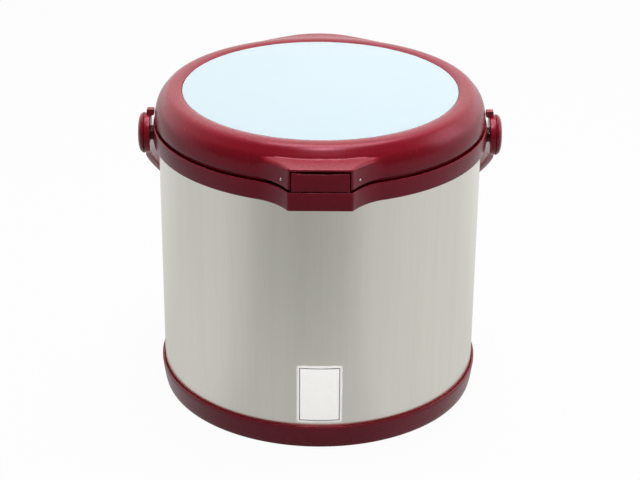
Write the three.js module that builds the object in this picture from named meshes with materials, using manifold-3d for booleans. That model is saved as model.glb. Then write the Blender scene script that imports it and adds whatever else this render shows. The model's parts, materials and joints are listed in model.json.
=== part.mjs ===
// Thermal cooker: a foam-insulated steel vessel with a plastic base ring and collar, a hinged
// insulated lid with a front rocker latch, a swinging bail handle, and a loose inner pot with
// its own lid. Millimetres, +Z up, the front (latch) faces -Y. The origin is on the ground,
// at the centre of the vessel.

import * as THREE from 'three';
import { mergeVertices } from 'three/addons/utils/BufferGeometryUtils.js';
import Module from 'manifold-3d';

const wasm = await Module();
wasm.setup();

// Clearances and counts
const gap = 0.3;
const overrun = 3;
const weldTolerance = 0.0001;
const ringSides = 32;
const potSides = 24;
const hubSides = 20;
const barSides = 12;
const smallSides = 8;
const cornerSteps = 2;
const flareSteps = 6;
const fixingCount = 4;

// Vessel: steel shell, base ring and plate
const bodyRadius = 140;
const bodyHeight = 230.6;
const shellWall = 0.8;
const shellFlange = 6;
const footProud = 0.8;
const footRadius = 9;
const footSeatDepth = 1.2;
const footInset = 36;
const ringFootInset = 0.3;
const ringBellyProud = 1.6;
const ringLipProud = 2.6;
const ringHeight = 23.1;
const ringFloor = 6.5;
const ringFlangeInset = 22;
const ringEdgeRound = 1.2;
const ringBellyShare = 0.5;
const ringLipShare = 0.86;
const baseBossRadius = 4;
const baseBossHeight = 9;
const basePlateInset = 14;
const basePlateThickness = 2.5;
const basePlateRecess = 0.8;

// Base screws
const baseScrewHeadRadius = 3.2;
const baseScrewHeadHeight = 1.1;
const baseScrewRadius = 1.6;
const baseScrewLength = 9.5;

// Collar ring
const collarProud = 4.5;
const collarHeight = 16;
const collarWeb = 5.2;
const collarEdgeRound = 0.9;
const collarLipOverlap = 3;

// Insulated well
const foamWidth = 26.5;
const linerWall = 0.6;
const linerFloorHeight = 32;
const linerCorner = 12;
const mouthInset = 13;
const mouthDepth = 48;
const mouthStepRise = 7;
const linerRimWidth = 7;

// Front beak of collar and lid: how far it stands out, its cheeks beside the latch, its flares
const beakProud = 13.5;
const beakCheekWidth = 1.65;
const beakFlareWidth = 24;
const beakInnerDepth = 11.5;
const beakShelfWall = 1.3;
const beakShelfFall = 2.8;
const beakShelfRun = 19;
const beakTopInset = 1.6;
const beakShelfRound = 1.5;

// Bend of a flare: shares of its width and of its reach
const beakBendShares = [0.396, 0.278];
const hingeBendShares = [0.286, 0.554];
const humpBendShares = [0.4, 0.614];

// Latch lever and its pocket
const latchWidth = 46.9;
const latchSideGap = 0.9;
const latchThickness = 2.8;
const latchHeight = 15.9;
const latchTopSag = 0.9;
const latchSagSteps = 8;
const latchBottomGap = 0.8;
const latchCeilingGap = 1.6;

// Latch pin, as a share of the beak's reach behind its front, and the barrel on it
const latchPinShare = 2 / 3;
const latchPinRadius = 1.2;
const latchPinRise = 7.9;
const latchPinSeat = 6.05;
const latchBarrelRadius = 3.2;
const latchWebHeight = 4;

// Latch spring
const springBayHalfWidth = 6;
const springWireRadius = 0.4;
const springCoilRadius = 2.2;
const springPitch = 1.3;
const springTurns = 4;
const springStepsPerTurn = 9;
const springCurveSegments = 3;
const springLegShare = 0.12;

// Latch hook, the catch plate and the collar's pocket for both
const hookHalfWidth = 11.5;
const hookThickness = 2.4;
const hookSetback = 4.2;
const hookNoseLength = 1.8;
const hookNoseHeight = 2;
const hookDepth = 6;
const catchSideWidth = 2;
const catchThickness = 1.1;
const catchLipLength = 2.8;
const catchLegHeight = 6;
const pocketSideWidth = 2;
const pocketFrontWall = 1.8;
const pocketFloor = 3.4;

// Rear hinge
const hingeProud = 8.5;
const hingeDrop = 1.1;
const hingeFlareWidth = 28;
const knuckleRadius = 5;
const lidKnuckleHalfWidth = 18.6;
const collarKnuckleWidth = 12;
const collarHingeMargin = 1.1;
const hingePinRadius = 1.8;
const hingePinHeadInset = 0.5;
const humpHalfWidth = 20;
const humpFlareWidth = 40;
const humpRound = 13;
const humpInnerDepth = 14;

// Levels of the hump: shares of the lid's height, of the rounding at the back and of the narrowing
const humpTopShares = [
  [0, 0, 0], [0.45, 0, 0], [0.62, 0.12, 0.06], [0.76, 0.36, 0.18], [0.87, 0.68, 0.34], [0.94, 1, 0.5],
];

// Lid
const lidInset = 1.4;
const lidHeight = 27.8;
const seamHeight = 2.5;
const lidWall = 2.8;
const spigotInset = 1.6;
const spigotWall = 4;
const spigotDrop = 2.1;
const lidBandWidth = 24.1;
const discThickness = 1.4;
const discLedge = 7;
const lidCeilingInset = 20.5;
const lidCeilingRise = 9;
const lidSlopeWidth = 4;
const lidLinerFlange = 8.5;
const lidLinerDrop = 0.9;
const gasketWidth = 5.5;
const lidScrewInset = 3.3;
const lidScrewHeadRadius = 2.6;
const lidScrewHeadHeight = 1;
const lidScrewRadius = 1.3;
const lidScrewLength = 8;
const lidBossRadius = 3;

// Lid shoulder, from the lid's lower edge up to the inset disc: shares of the ring's width
// outside the disc and of the lid's height
const shoulderShares = [
  [0.985, 0], [1, 0.13], [0.975, 0.31], [0.931, 0.48], [0.845, 0.66], [0.728, 0.8],
  [0.59, 0.93], [0.44, 0.99], [0.2, 1], [0.02, 0.97],
];

// Bail handle
const pivotDrop = 13.1;
const bailSideGap = 2.2;
const bailThickness = 5.4;
const bailWidth = 13;
const bailBeakGap = 50;
const bailRings = 35;
const gripThickness = 8.5;
const gripWidth = 16.6;
const gripHalfAngleShare = 0.16;

// The bail's section: shares of half its thickness and of half its width
const bailSectionShares = [
  [1, -0.55], [0.8, -1], [-0.8, -1], [-1, -0.55], [-1, 0.55], [-0.8, 1], [0.8, 1], [1, 0.55],
];

// Bail's eyes, stop lugs and hub caps
const eyeInset = 0.4;
const capRadius = 18;
const capHeight = 5.1;
const capDomeSteps = 5;
const capCavityRadius = 8;
const capCavityDepth = 2.8;
const lugWidth = 6;
const lugHeight = 7;
const lugReach = 23.5;
const lugProud = 1.6;

// Bail's pivots
const washerRadius = 6.5;
const pivotScrewRadius = 3;
const pivotScrewHeadRadius = 6.5;
const pivotScrewHeadHeight = 2;
const pivotScrewDepth = 3.6;
const pivotPadRadius = 8.6;
const pivotPadProud = 0.5;

// Inner pot
const potSideGap = 8.5;
const potRimDrop = 24.8;
const potWall = 0.8;
const potCorner = 9;
const potRimRadius = 1.8;
const potDiscInset = 15;
const potDiscThickness = 4;
const potHandleDrop = 10;
const potHandleReach = 16;
const potHandleRodRadius = 2.6;
const potHandleRodSteps = 14;
const potHandleCurveSegments = 4;
const potHandleHalfFacets = 3;
const potPlateWidth = 12;
const potPlateHeight = 20;
const potPlateThickness = 1.2;
const potRivetDrop = 9;
const potRivetRadius = 1.7;
const potRivetHeadRadius = 3.4;
const potRivetHeadHeight = 1;

// Places along the pot handle's outer bend: shares of its half angle
const potHandleBendShares = [-0.8, -0.4, 0, 0.4, 0.8];

// Pot lid
const potLidOverhang = 4.2;
const potLidDome = 6.5;
const potLidStep = 5;
const potLidSkirt = 5;
const potLidVentRadius = 1.6;
const potLidVentInset = 43;
const potLidDomeSteps = 3;

// Pot lid's knob and its screw
const knobRadius = 18;
const knobHeight = 19;
const knobScrewRadius = 2;
const knobScrewHeadRadius = 4.5;
const knobScrewHeadHeight = 1.8;
const knobScrewDepth = 9;

// The knob's profile: shares of its radius and of its height
const knobShares = [
  [0, 0], [0.65, 0], [0.5, 0.25], [0.5, 0.45], [0.95, 0.62], [1, 0.75], [0.85, 0.92], [0.5, 1], [0, 1],
];

// Radii worked out from the sizes above
const skirtInnerRadius = bodyRadius + gap;
const ringFootRadius = bodyRadius - ringFootInset;
const ringBellyRadius = bodyRadius + ringBellyProud;
const ringLipRadius = bodyRadius + ringLipProud;
const ringFlangeRadius = bodyRadius - ringFlangeInset;
const basePlateRadius = bodyRadius - basePlateInset;
const baseScrewCircle = (ringFlangeRadius + basePlateRadius) / 2;
const footCircle = bodyRadius - footInset;
const linerRadius = bodyRadius - foamWidth;
const mouthRadius = bodyRadius - mouthInset;
const collarRadius = bodyRadius + collarProud;
const collarLipRadius = mouthRadius - collarLipOverlap;
const lidRadius = collarRadius - lidInset;
const discRadius = lidRadius - lidBandWidth;
const discLedgeRadius = discRadius - discLedge;
const spigotOuterRadius = lidRadius - spigotInset;
const spigotInnerRadius = spigotOuterRadius - spigotWall;
const lidCeilingRadius = spigotInnerRadius - lidCeilingInset;
const lidScrewCircle = spigotInnerRadius - lidScrewInset;
const potRadius = linerRadius - potSideGap;
const potInnerRadius = potRadius - potWall;
const potDiscRadius = potRadius - potDiscInset;
const potLidRadius = potRadius + potLidOverhang;
const eyeRadius = capRadius - eyeInset;

// Reaches and half widths worked out from the sizes above
const beakReach = collarRadius + beakProud;
const beakInnerReach = collarRadius - beakInnerDepth;
const hingeReach = collarRadius + hingeProud;
const humpInnerReach = lidRadius - humpInnerDepth;
const latchPocketHalfWidth = latchWidth / 2 + latchSideGap;
const beakHalfWidth = latchPocketHalfWidth + beakCheekWidth;
const latchPinHalfLength = latchPocketHalfWidth + latchPinSeat;
const catchHalfWidth = hookHalfWidth + catchSideWidth;
const pocketHalfWidth = catchHalfWidth + pocketSideWidth;
const collarHingeHalfWidth = lidKnuckleHalfWidth + gap + collarKnuckleWidth + collarHingeMargin;
const padHalfWidth = collarRadius + pivotPadProud;
const bailInnerHalfWidth = padHalfWidth + bailSideGap;
const lugInnerHalfWidth = bailInnerHalfWidth - lugProud;
const bailInnerReach = beakReach + bailBeakGap;
const screwTipHalfWidth = padHalfWidth - pivotScrewDepth;
const eyeOuterHalfWidth = bailInnerHalfWidth + bailThickness;

// Heights worked out from the sizes above
const ringBottomZ = footProud;
const ringTopZ = ringBottomZ + ringHeight;
const ringFloorZ = ringBottomZ + ringFloor;
const basePlateZ = ringBottomZ + basePlateRecess;
const basePlateTopZ = basePlateZ + basePlateThickness;
const baseScrewSeatZ = basePlateZ + baseScrewHeadHeight + gap;
const collarBottomZ = ringBottomZ + bodyHeight;
const collarTopZ = collarBottomZ + collarHeight;
const webBottomZ = collarTopZ - collarWeb;
const lidEdgeZ = collarTopZ + seamHeight;
const crownZ = lidEdgeZ + lidHeight;
const shellBottomZ = ringFloorZ + gap;
const shellTopZ = webBottomZ - gap;
const linerRimZ = webBottomZ - gap;
const linerFloorZ = ringBottomZ + linerFloorHeight;
const mouthStepZ = linerRimZ - mouthDepth;
const pivotZ = collarTopZ - pivotDrop;
const hingeZ = collarTopZ - hingeDrop;
const spigotBottomZ = lidEdgeZ - spigotDrop;
const lidFlangeZ = lidEdgeZ + lidLinerDrop;
const lidCeilingZ = lidFlangeZ + lidCeilingRise;
const potDiscZ = linerFloorZ + gap;
const potFloorZ = potDiscZ + potDiscThickness + gap + potWall;
const potRimZ = linerRimZ - potRimDrop;
const potHandleZ = potRimZ - potHandleDrop;
const potRivetZ = potHandleZ - potRivetDrop;
const potLidZ = potRimZ + gap;
const potLidTopZ = potLidZ + potLidStep + potLidDome;

// Places of the latch and its hook, worked out from the sizes above
const latchPinY = -(collarRadius + beakProud * (1 - latchPinShare));
const latchPinZ = collarTopZ + latchPinRise;
const latchBottomZ = collarTopZ + latchBottomGap;
const latchTopZ = latchBottomZ + latchHeight;
const latchCeilingZ = latchTopZ + latchCeilingGap;
const latchBackY = -(beakReach - latchThickness);
const pocketFrontY = -(beakReach - pocketFrontWall);
const hookFrontY = -(beakReach - hookSetback);
const hookBackY = hookFrontY + hookThickness;
const noseTipY = hookBackY + hookNoseLength;
const noseBottomZ = collarTopZ - hookDepth;
const noseTopZ = noseBottomZ + hookNoseHeight;
const catchLipY = noseTipY + gap;
const catchLipZ = noseTopZ + gap;
const catchBackY = catchLipY + catchLipLength;
const pocketBackY = catchBackY + gap;

// Materials
const colours = {
  maroonPlastic: { color: 0x7d2433, roughness: 0.38, metalness: 0 },
  darkPlastic: { color: 0x2a1114, roughness: 0.5, metalness: 0 },
  discPlastic: { color: 0xe4f5fc, roughness: 0.3, metalness: 0 },
  brushedSteel: { color: 0xb9b8ad, roughness: 0.38, metalness: 1 },
  polishedSteel: { color: 0xc9c9c6, roughness: 0.22, metalness: 1 },
  foam: { color: 0xe9dfb8, roughness: 0.95, metalness: 0 },
  rubber: { color: 0x202022, roughness: 0.85, metalness: 0 },
  silicone: { color: 0xd8d6cf, roughness: 0.6, metalness: 0 },
  bakelite: { color: 0x17171a, roughness: 0.35, metalness: 0 },
};

// Solids: welding, joining and cutting

function welded(geometry) {
  const bare = geometry.clone();
  bare.deleteAttribute('normal');
  bare.deleteAttribute('uv');
  const merged = mergeVertices(bare, weldTolerance);
  const corners = merged.index.array;
  const kept = [];
  for (let i = 0; i < corners.length; i += 3) {
    const [a, b, c] = corners.slice(i, i + 3);
    if (a !== b && b !== c && c !== a) kept.push(a, b, c);
  }
  merged.setIndex(kept);
  return merged;
}

function solid(geometry) {
  const closed = welded(geometry);
  return new wasm.Manifold(new wasm.Mesh({
    numProp: 3,
    vertProperties: new Float32Array(closed.attributes.position.array),
    triVerts: new Uint32Array(closed.index.array),
  }));
}

function join(...solids) {
  return solids.reduce((whole, piece) => whole.add(piece));
}

function cut(whole, ...tools) {
  return tools.reduce((rest, tool) => rest.subtract(tool), whole);
}

function part(parent, name, body, look) {
  const { vertProperties, triVerts } = body.getMesh();
  const geometry = new THREE.BufferGeometry();
  geometry.setAttribute('position', new THREE.BufferAttribute(new Float32Array(vertProperties), 3));
  geometry.setIndex(new THREE.BufferAttribute(new Uint32Array(triVerts), 1));
  const mesh = new THREE.Mesh(geometry, new THREE.MeshStandardMaterial({ ...look, flatShading: true }));
  mesh.name = name;
  parent.add(mesh);
}

// Forms: turned, extruded and stacked solids

// Turns a profile of [radius, height] points about Z. A profile off the axis closes on itself.
function turned(profile, sides = ringSides) {
  const points = profile.map(([r, z]) => new THREE.Vector2(r, z));
  if (THREE.ShapeUtils.area(points) < 0) points.reverse();
  if (points[0].x > 0) points.push(points[0].clone());
  return solid(new THREE.LatheGeometry(points, sides).rotateX(Math.PI / 2));
}

function outlineShape(points) {
  return new THREE.Shape(points.map(([x, y]) => new THREE.Vector2(x, y)));
}

// Extrudes a closed [x, y] outline from one height to another.
function slab(points, bottomZ, topZ) {
  const settings = { depth: topZ - bottomZ, bevelEnabled: false };
  return solid(new THREE.ExtrudeGeometry(outlineShape(points), settings).translate(0, 0, bottomZ));
}

// Extrudes a closed [y, z] outline along X.
const sideways = new THREE.Matrix4().makeBasis(
  new THREE.Vector3(0, 1, 0), new THREE.Vector3(0, 0, 1), new THREE.Vector3(1, 0, 0));

function beam(points, x0, x1) {
  const settings = { depth: x1 - x0, bevelEnabled: false };
  const geometry = new THREE.ExtrudeGeometry(outlineShape(points), settings);
  return solid(geometry.applyMatrix4(sideways).translate(x0, 0, 0));
}

function block(x0, x1, y0, y1, z0, z1) {
  return slab([[x0, y0], [x1, y0], [x1, y1], [x0, y1]], z0, z1);
}

// A round bar along X, centred on (y, z).
function crossBar(radius, x0, x1, y, z, sides = barSides) {
  const geometry = new THREE.CylinderGeometry(radius, radius, x1 - x0, sides).rotateZ(Math.PI / 2);
  return solid(geometry.translate((x0 + x1) / 2, y, z));
}

// An upright round bar, centred on (x, y).
function post(radius, x, y, z0, z1, sides = smallSides) {
  const geometry = new THREE.CylinderGeometry(radius, radius, z1 - z0, sides).rotateX(Math.PI / 2);
  return solid(geometry.translate(x, y, (z0 + z1) / 2));
}

// Joins like outlines of [x, y, z] points, lowest first and anticlockwise from above, into a skin,
// and closes it at the bottom and the top.
function stack(outlines) {
  const count = outlines[0].length;
  const faces = [];
  for (let level = 0; level + 1 < outlines.length; level += 1) {
    for (let i = 0; i < count; i += 1) {
      const next = (i + 1) % count;
      const [a, b] = [level * count + i, level * count + next];
      faces.push(a, b, b + count, a, b + count, a + count);
    }
  }
  const flat = (outline) => outline.map(([x, y]) => new THREE.Vector2(x, y));
  const lift = (outlines.length - 1) * count;
  for (const [a, b, c] of THREE.ShapeUtils.triangulateShape(flat(outlines[0]), [])) faces.push(c, b, a);
  for (const [a, b, c] of THREE.ShapeUtils.triangulateShape(flat(outlines.at(-1)), [])) {
    faces.push(lift + a, lift + b, lift + c);
  }
  const geometry = new THREE.BufferGeometry();
  geometry.setAttribute('position', new THREE.Float32BufferAttribute(outlines.flat(2), 3));
  geometry.setIndex(faces);
  return solid(geometry);
}

// Profile helpers: a path of [radius, height] points shifted to its right by a distance, and the
// closed profile of a sheet whose one face follows the path. A point on the axis stays on it.
function shifted(path, distance) {
  const rightOf = ([r0, z0], [r1, z1]) => new THREE.Vector2(z1 - z0, r0 - r1).normalize();
  return path.map((point, i) => {
    const before = i > 0 ? rightOf(path[i - 1], point) : rightOf(point, path[i + 1]);
    const after = i + 1 < path.length ? rightOf(point, path[i + 1]) : before;
    const middle = before.clone().add(after).normalize();
    const reach = distance / middle.dot(before);
    return [point[0] > 0 ? point[0] + middle.x * reach : 0, point[1] + middle.y * reach];
  });
}

function sheet(path, wall) {
  return [...path, ...shifted(path, wall).reverse()];
}

// Points of a quarter turn from one direction to another, for rounded corners of a profile.
function roundedCorner(centreR, centreZ, radius, fromAngle, toAngle) {
  return Array.from({ length: cornerSteps + 1 }, (_, i) => {
    const angle = fromAngle + (toAngle - fromAngle) * i / cornerSteps;
    return [centreR + radius * Math.cos(angle), centreZ + radius * Math.sin(angle)];
  });
}

function around(count, firstAngle, make) {
  return Array.from({ length: count }, (_, i) => make(firstAngle + 2 * Math.PI * i / count));
}

// The outline of a boss that grows out of a ring: a straight end, then a concave flare on each
// side that runs into the ring. The side is -1 at the front and 1 at the back.
function flaredOutline({ side, halfWidth, reach, control, root, ringRadius, innerReach }) {
  const rootY = Math.sqrt(ringRadius ** 2 - root ** 2);
  const flare = new THREE.QuadraticBezierCurve(
    new THREE.Vector2(root, rootY), new THREE.Vector2(...control), new THREE.Vector2(halfWidth, reach));
  const right = flare.getPoints(flareSteps).map(({ x, y }) => [x, y]);
  const left = right.map(([x, y]) => [-x, y]).reverse();
  const innerHalfWidth = root * innerReach / ringRadius;
  const points = [[innerHalfWidth, innerReach - ringRadius + rootY], ...right, ...left,
    [-innerHalfWidth, innerReach - ringRadius + rootY]];
  return side > 0 ? points : points.map(([x, y]) => [-x, -y]);
}

// The lid's shoulder in [radius, height].
const shoulder = shoulderShares.map(([across, up]) => [
  discRadius + (lidRadius - discRadius) * across, lidEdgeZ + lidHeight * up]);

function shoulderRadiusAt(z) {
  const above = shoulder.findIndex(([, height]) => height >= z);
  const [[r0, z0], [r1, z1]] = [shoulder[Math.max(above - 1, 0)], shoulder[Math.max(above, 1)]];
  return r0 + (r1 - r0) * (z - z0) / (z1 - z0);
}

// Vessel

function baseRing() {
  const outside = [
    [ringFootRadius - ringEdgeRound, ringBottomZ],
    [ringFootRadius, ringBottomZ + ringEdgeRound],
    [ringBellyRadius, ringBottomZ + ringHeight * ringBellyShare],
    [ringLipRadius, ringBottomZ + ringHeight * ringLipShare],
    [ringLipRadius, ringTopZ - ringEdgeRound],
    [ringLipRadius - ringEdgeRound, ringTopZ],
  ];
  const inside = [
    [skirtInnerRadius, ringTopZ],
    [skirtInnerRadius, ringFloorZ],
    [ringFlangeRadius, ringFloorZ],
    [ringFlangeRadius, basePlateTopZ + gap],
    [basePlateRadius + gap, basePlateTopZ + gap],
    [basePlateRadius + gap, ringBottomZ],
  ];
  const bosses = baseScrewPlaces.map(([x, y]) => (
    post(baseBossRadius, x, y, basePlateTopZ + gap, ringFloorZ + baseBossHeight)));
  const holes = baseScrewPlaces.map(([x, y]) => (
    post(baseScrewRadius + gap, x, y, ringBottomZ, basePlateZ + baseScrewLength + gap)));
  return cut(join(turned([...outside, ...inside]), ...bosses), ...holes);
}

const baseScrewPlaces = around(fixingCount, 0, (angle) => [
  baseScrewCircle * Math.cos(angle), baseScrewCircle * Math.sin(angle)]);
const footPlaces = around(fixingCount, Math.PI / 4, (angle) => [
  footCircle * Math.cos(angle), footCircle * Math.sin(angle)]);

function basePlate() {
  const disc = post(basePlateRadius, 0, 0, basePlateZ, basePlateTopZ, ringSides);
  const footSeats = footPlaces.map(([x, y]) => (
    post(footRadius + gap, x, y, basePlateZ - overrun, basePlateZ + footSeatDepth, barSides)));
  const headSeats = baseScrewPlaces.map(([x, y]) => (
    post(baseScrewHeadRadius + gap, x, y, basePlateZ - overrun, baseScrewSeatZ)));
  const holes = baseScrewPlaces.map(([x, y]) => (
    post(baseScrewRadius + gap, x, y, basePlateZ, basePlateTopZ + overrun)));
  return cut(disc, ...footSeats, ...headSeats, ...holes);
}

function foot([x, y]) {
  return post(footRadius, x, y, 0, basePlateZ + footSeatDepth - gap, barSides);
}

function baseScrew([x, y]) {
  const head = post(baseScrewHeadRadius, x, y, basePlateZ, basePlateZ + baseScrewHeadHeight);
  const shank = post(baseScrewRadius, x, y, basePlateZ, basePlateZ + baseScrewLength);
  return join(head, shank);
}

function outerShell() {
  const inner = bodyRadius - shellWall;
  return turned([
    [bodyRadius - shellFlange, shellBottomZ], [bodyRadius, shellBottomZ], [bodyRadius, shellTopZ],
    [inner, shellTopZ], [inner, shellBottomZ + shellWall],
    [bodyRadius - shellFlange, shellBottomZ + shellWall],
  ]);
}

// The well's inner face, from its centre out and up to its rim.
const linerPath = [
  [0, linerFloorZ],
  ...roundedCorner(linerRadius - linerCorner, linerFloorZ + linerCorner, linerCorner, -Math.PI / 2, 0),
  [linerRadius, mouthStepZ],
  [mouthRadius, mouthStepZ + mouthStepRise],
  [mouthRadius, linerRimZ],
  [mouthRadius + linerRimWidth, linerRimZ],
];

function innerLiner() {
  return turned(sheet(linerPath, linerWall));
}

function vesselFoam() {
  const seat = shifted(linerPath, linerWall + gap);
  const outer = bodyRadius - shellWall - gap;
  const bottom = shellBottomZ + shellWall + gap;
  const rim = seat.at(-1);
  const bossSeats = baseScrewPlaces.map(([x, y]) => (
    post(baseBossRadius + gap, x, y, bottom - overrun, ringFloorZ + baseBossHeight + gap)));
  const profile = [...seat.slice(0, -1), [outer, rim[1]], [outer, bottom], [0, bottom]];
  return cut(turned(profile), ...bossSeats);
}

// A flare's control point, from its root on the collar ring to the end of its straight face.
function flareControl(halfWidth, flareWidth, reach, [across, out]) {
  const rootReach = Math.sqrt(collarRadius ** 2 - (halfWidth + flareWidth) ** 2);
  return [halfWidth + flareWidth * across, rootReach + (reach - rootReach) * out];
}

const collarFront = {
  side: -1, halfWidth: beakHalfWidth, reach: beakReach, root: beakHalfWidth + beakFlareWidth,
  control: flareControl(beakHalfWidth, beakFlareWidth, beakReach, beakBendShares),
  ringRadius: collarRadius, innerReach: beakInnerReach,
};
const collarRear = {
  side: 1, halfWidth: collarHingeHalfWidth, reach: hingeReach, root: collarHingeHalfWidth + hingeFlareWidth,
  control: flareControl(collarHingeHalfWidth, hingeFlareWidth, hingeReach, hingeBendShares),
  ringRadius: collarRadius, innerReach: beakInnerReach,
};

function collar() {
  const ring = turned([
    [skirtInnerRadius, collarBottomZ],
    [collarRadius - collarEdgeRound, collarBottomZ],
    [collarRadius, collarBottomZ + collarEdgeRound],
    [collarRadius, collarTopZ - collarEdgeRound],
    [collarRadius - collarEdgeRound, collarTopZ],
    [collarLipRadius + collarEdgeRound, collarTopZ],
    [collarLipRadius, collarTopZ - collarEdgeRound],
    [collarLipRadius, webBottomZ],
    [skirtInnerRadius, webBottomZ],
  ]);
  const beak = slab(flaredOutline(collarFront), collarBottomZ, collarTopZ);
  const hingeBlock = slab(flaredOutline(collarRear), collarBottomZ, collarTopZ);
  const knuckles = [-1, 1].map((side) => {
    const [near, far] = [lidKnuckleHalfWidth + gap, lidKnuckleHalfWidth + gap + collarKnuckleWidth];
    return crossBar(knuckleRadius, ...(side < 0 ? [-far, -near] : [near, far]), hingeReach, hingeZ);
  });
  const pads = [-1, 1].map((side) => {
    const ends = [side * beakInnerReach, side * padHalfWidth].sort((a, b) => a - b);
    return crossBar(pivotPadRadius, ...ends, 0, pivotZ, hubSides);
  });
  const shellSpace = post(skirtInnerRadius, 0, 0, collarBottomZ - pivotPadRadius, webBottomZ, ringSides);
  const lidKnuckleSpace = crossBar(knuckleRadius + gap, -lidKnuckleHalfWidth - gap,
    lidKnuckleHalfWidth + gap, hingeReach, hingeZ);
  const pinHole = crossBar(hingePinRadius + gap, -collarRear.root, collarRear.root, hingeReach, hingeZ);
  const hookPocket = block(-pocketHalfWidth, pocketHalfWidth, pocketFrontY, pocketBackY,
    collarBottomZ + pocketFloor, collarTopZ + overrun);
  const screwHoles = [-1, 1].map((side) => {
    const ends = [screwTipHalfWidth - gap, padHalfWidth + overrun].map((x) => side * x);
    return crossBar(pivotScrewRadius + gap, ...ends.sort((a, b) => a - b), 0, pivotZ);
  });
  const rough = cut(join(ring, beak, hingeBlock, ...pads),
    shellSpace, lidKnuckleSpace, hookPocket, ...screwHoles);
  return cut(join(rough, ...knuckles), pinHole);
}

function hingePin() {
  const halfLength = lidKnuckleHalfWidth + gap + collarKnuckleWidth - hingePinHeadInset;
  return crossBar(hingePinRadius, -halfLength, halfLength, hingeReach, hingeZ);
}

// A steel angle on the pocket's rear wall: its lip is the edge that the hook's nose sits under.
function catchPlate() {
  return beam([
    [catchBackY, catchLipZ - catchLegHeight],
    [catchBackY, catchLipZ + catchThickness],
    [catchLipY, catchLipZ + catchThickness],
    [catchLipY, catchLipZ],
    [catchBackY - catchThickness, catchLipZ],
    [catchBackY - catchThickness, catchLipZ - catchLegHeight],
  ], -catchHalfWidth, catchHalfWidth);
}

// Builds a piece for the right side and turns it half round for the left.
function onSide(side, body) {
  return side > 0 ? body : body.rotate([0, 0, 180]);
}

function pivotWasher(side) {
  const ends = [padHalfWidth + gap, bailInnerHalfWidth - gap];
  return onSide(side, cut(crossBar(washerRadius, ...ends, 0, pivotZ),
    crossBar(pivotScrewRadius + gap, ends[0] - overrun, ends[1] + overrun, 0, pivotZ)));
}

function pivotScrew(side) {
  const seat = eyeOuterHalfWidth + gap;
  return onSide(side, join(
    crossBar(pivotScrewRadius, screwTipHalfWidth, seat + pivotScrewHeadHeight, 0, pivotZ),
    crossBar(pivotScrewHeadRadius, seat, seat + pivotScrewHeadHeight, 0, pivotZ)));
}

// Lid

const coverInside = shifted(shoulder.filter((_, i) => i % 2 === 1), -lidWall);
const discSeatZ = shoulder.at(-1)[1] - discThickness - gap;
const lidFoamTopZ = discSeatZ - lidWall;
const lidBossTopZ = lidFoamTopZ - gap;

// The cover's inner face, from the ledge over its spigot up to the ledge that holds the disc.
const coverCavity = [
  [spigotInnerRadius, lidFlangeZ + lidWall],
  ...coverInside.filter(([, z]) => z < lidFoamTopZ),
  [discLedgeRadius, lidFoamTopZ],
];

function beakOutlineAt(z, inset) {
  return flaredOutline({
    ...collarFront, halfWidth: beakHalfWidth - inset, ringRadius: shoulderRadiusAt(z),
  });
}

// The lid's beak: drafted flares under a shelf that falls gently to its front edge.
function lidBeak() {
  const frontZ = latchCeilingZ + beakShelfWall;
  const shelfZ = (y) => frontZ + (y + beakReach) * beakShelfFall / beakShelfRun;
  const low = beakOutlineAt(lidEdgeZ, 0).map(([x, y]) => [x, y, lidEdgeZ]);
  const inset = beakTopInset / 2;
  const shoulderLine = beakOutlineAt(frontZ - beakShelfRound, inset)
    .map(([x, y]) => [x, y, shelfZ(y) - beakShelfRound]);
  const top = beakOutlineAt(frontZ, beakTopInset).map(([x, y]) => [x, y, shelfZ(y)]);
  return stack([low, shoulderLine, top]);
}

// The hump over the rear hinge: its back face is upright, its top leans into the crown.
function lidHump() {
  const backReach = hingeReach + knuckleRadius;
  const [controlHalfWidth, controlReach] = flareControl(
    humpHalfWidth, humpFlareWidth, backReach, humpBendShares);
  return stack(humpTopShares.map(([up, back, narrow]) => {
    const z = lidEdgeZ + lidHeight * up;
    return flaredOutline({
      side: 1, halfWidth: humpHalfWidth - humpRound * narrow, reach: backReach - humpRound * back,
      control: [controlHalfWidth, controlReach - humpRound * back], root: humpHalfWidth + humpFlareWidth,
      ringRadius: shoulderRadiusAt(z), innerReach: humpInnerReach,
    }).map(([x, y]) => [x, y, z]);
  }));
}

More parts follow.
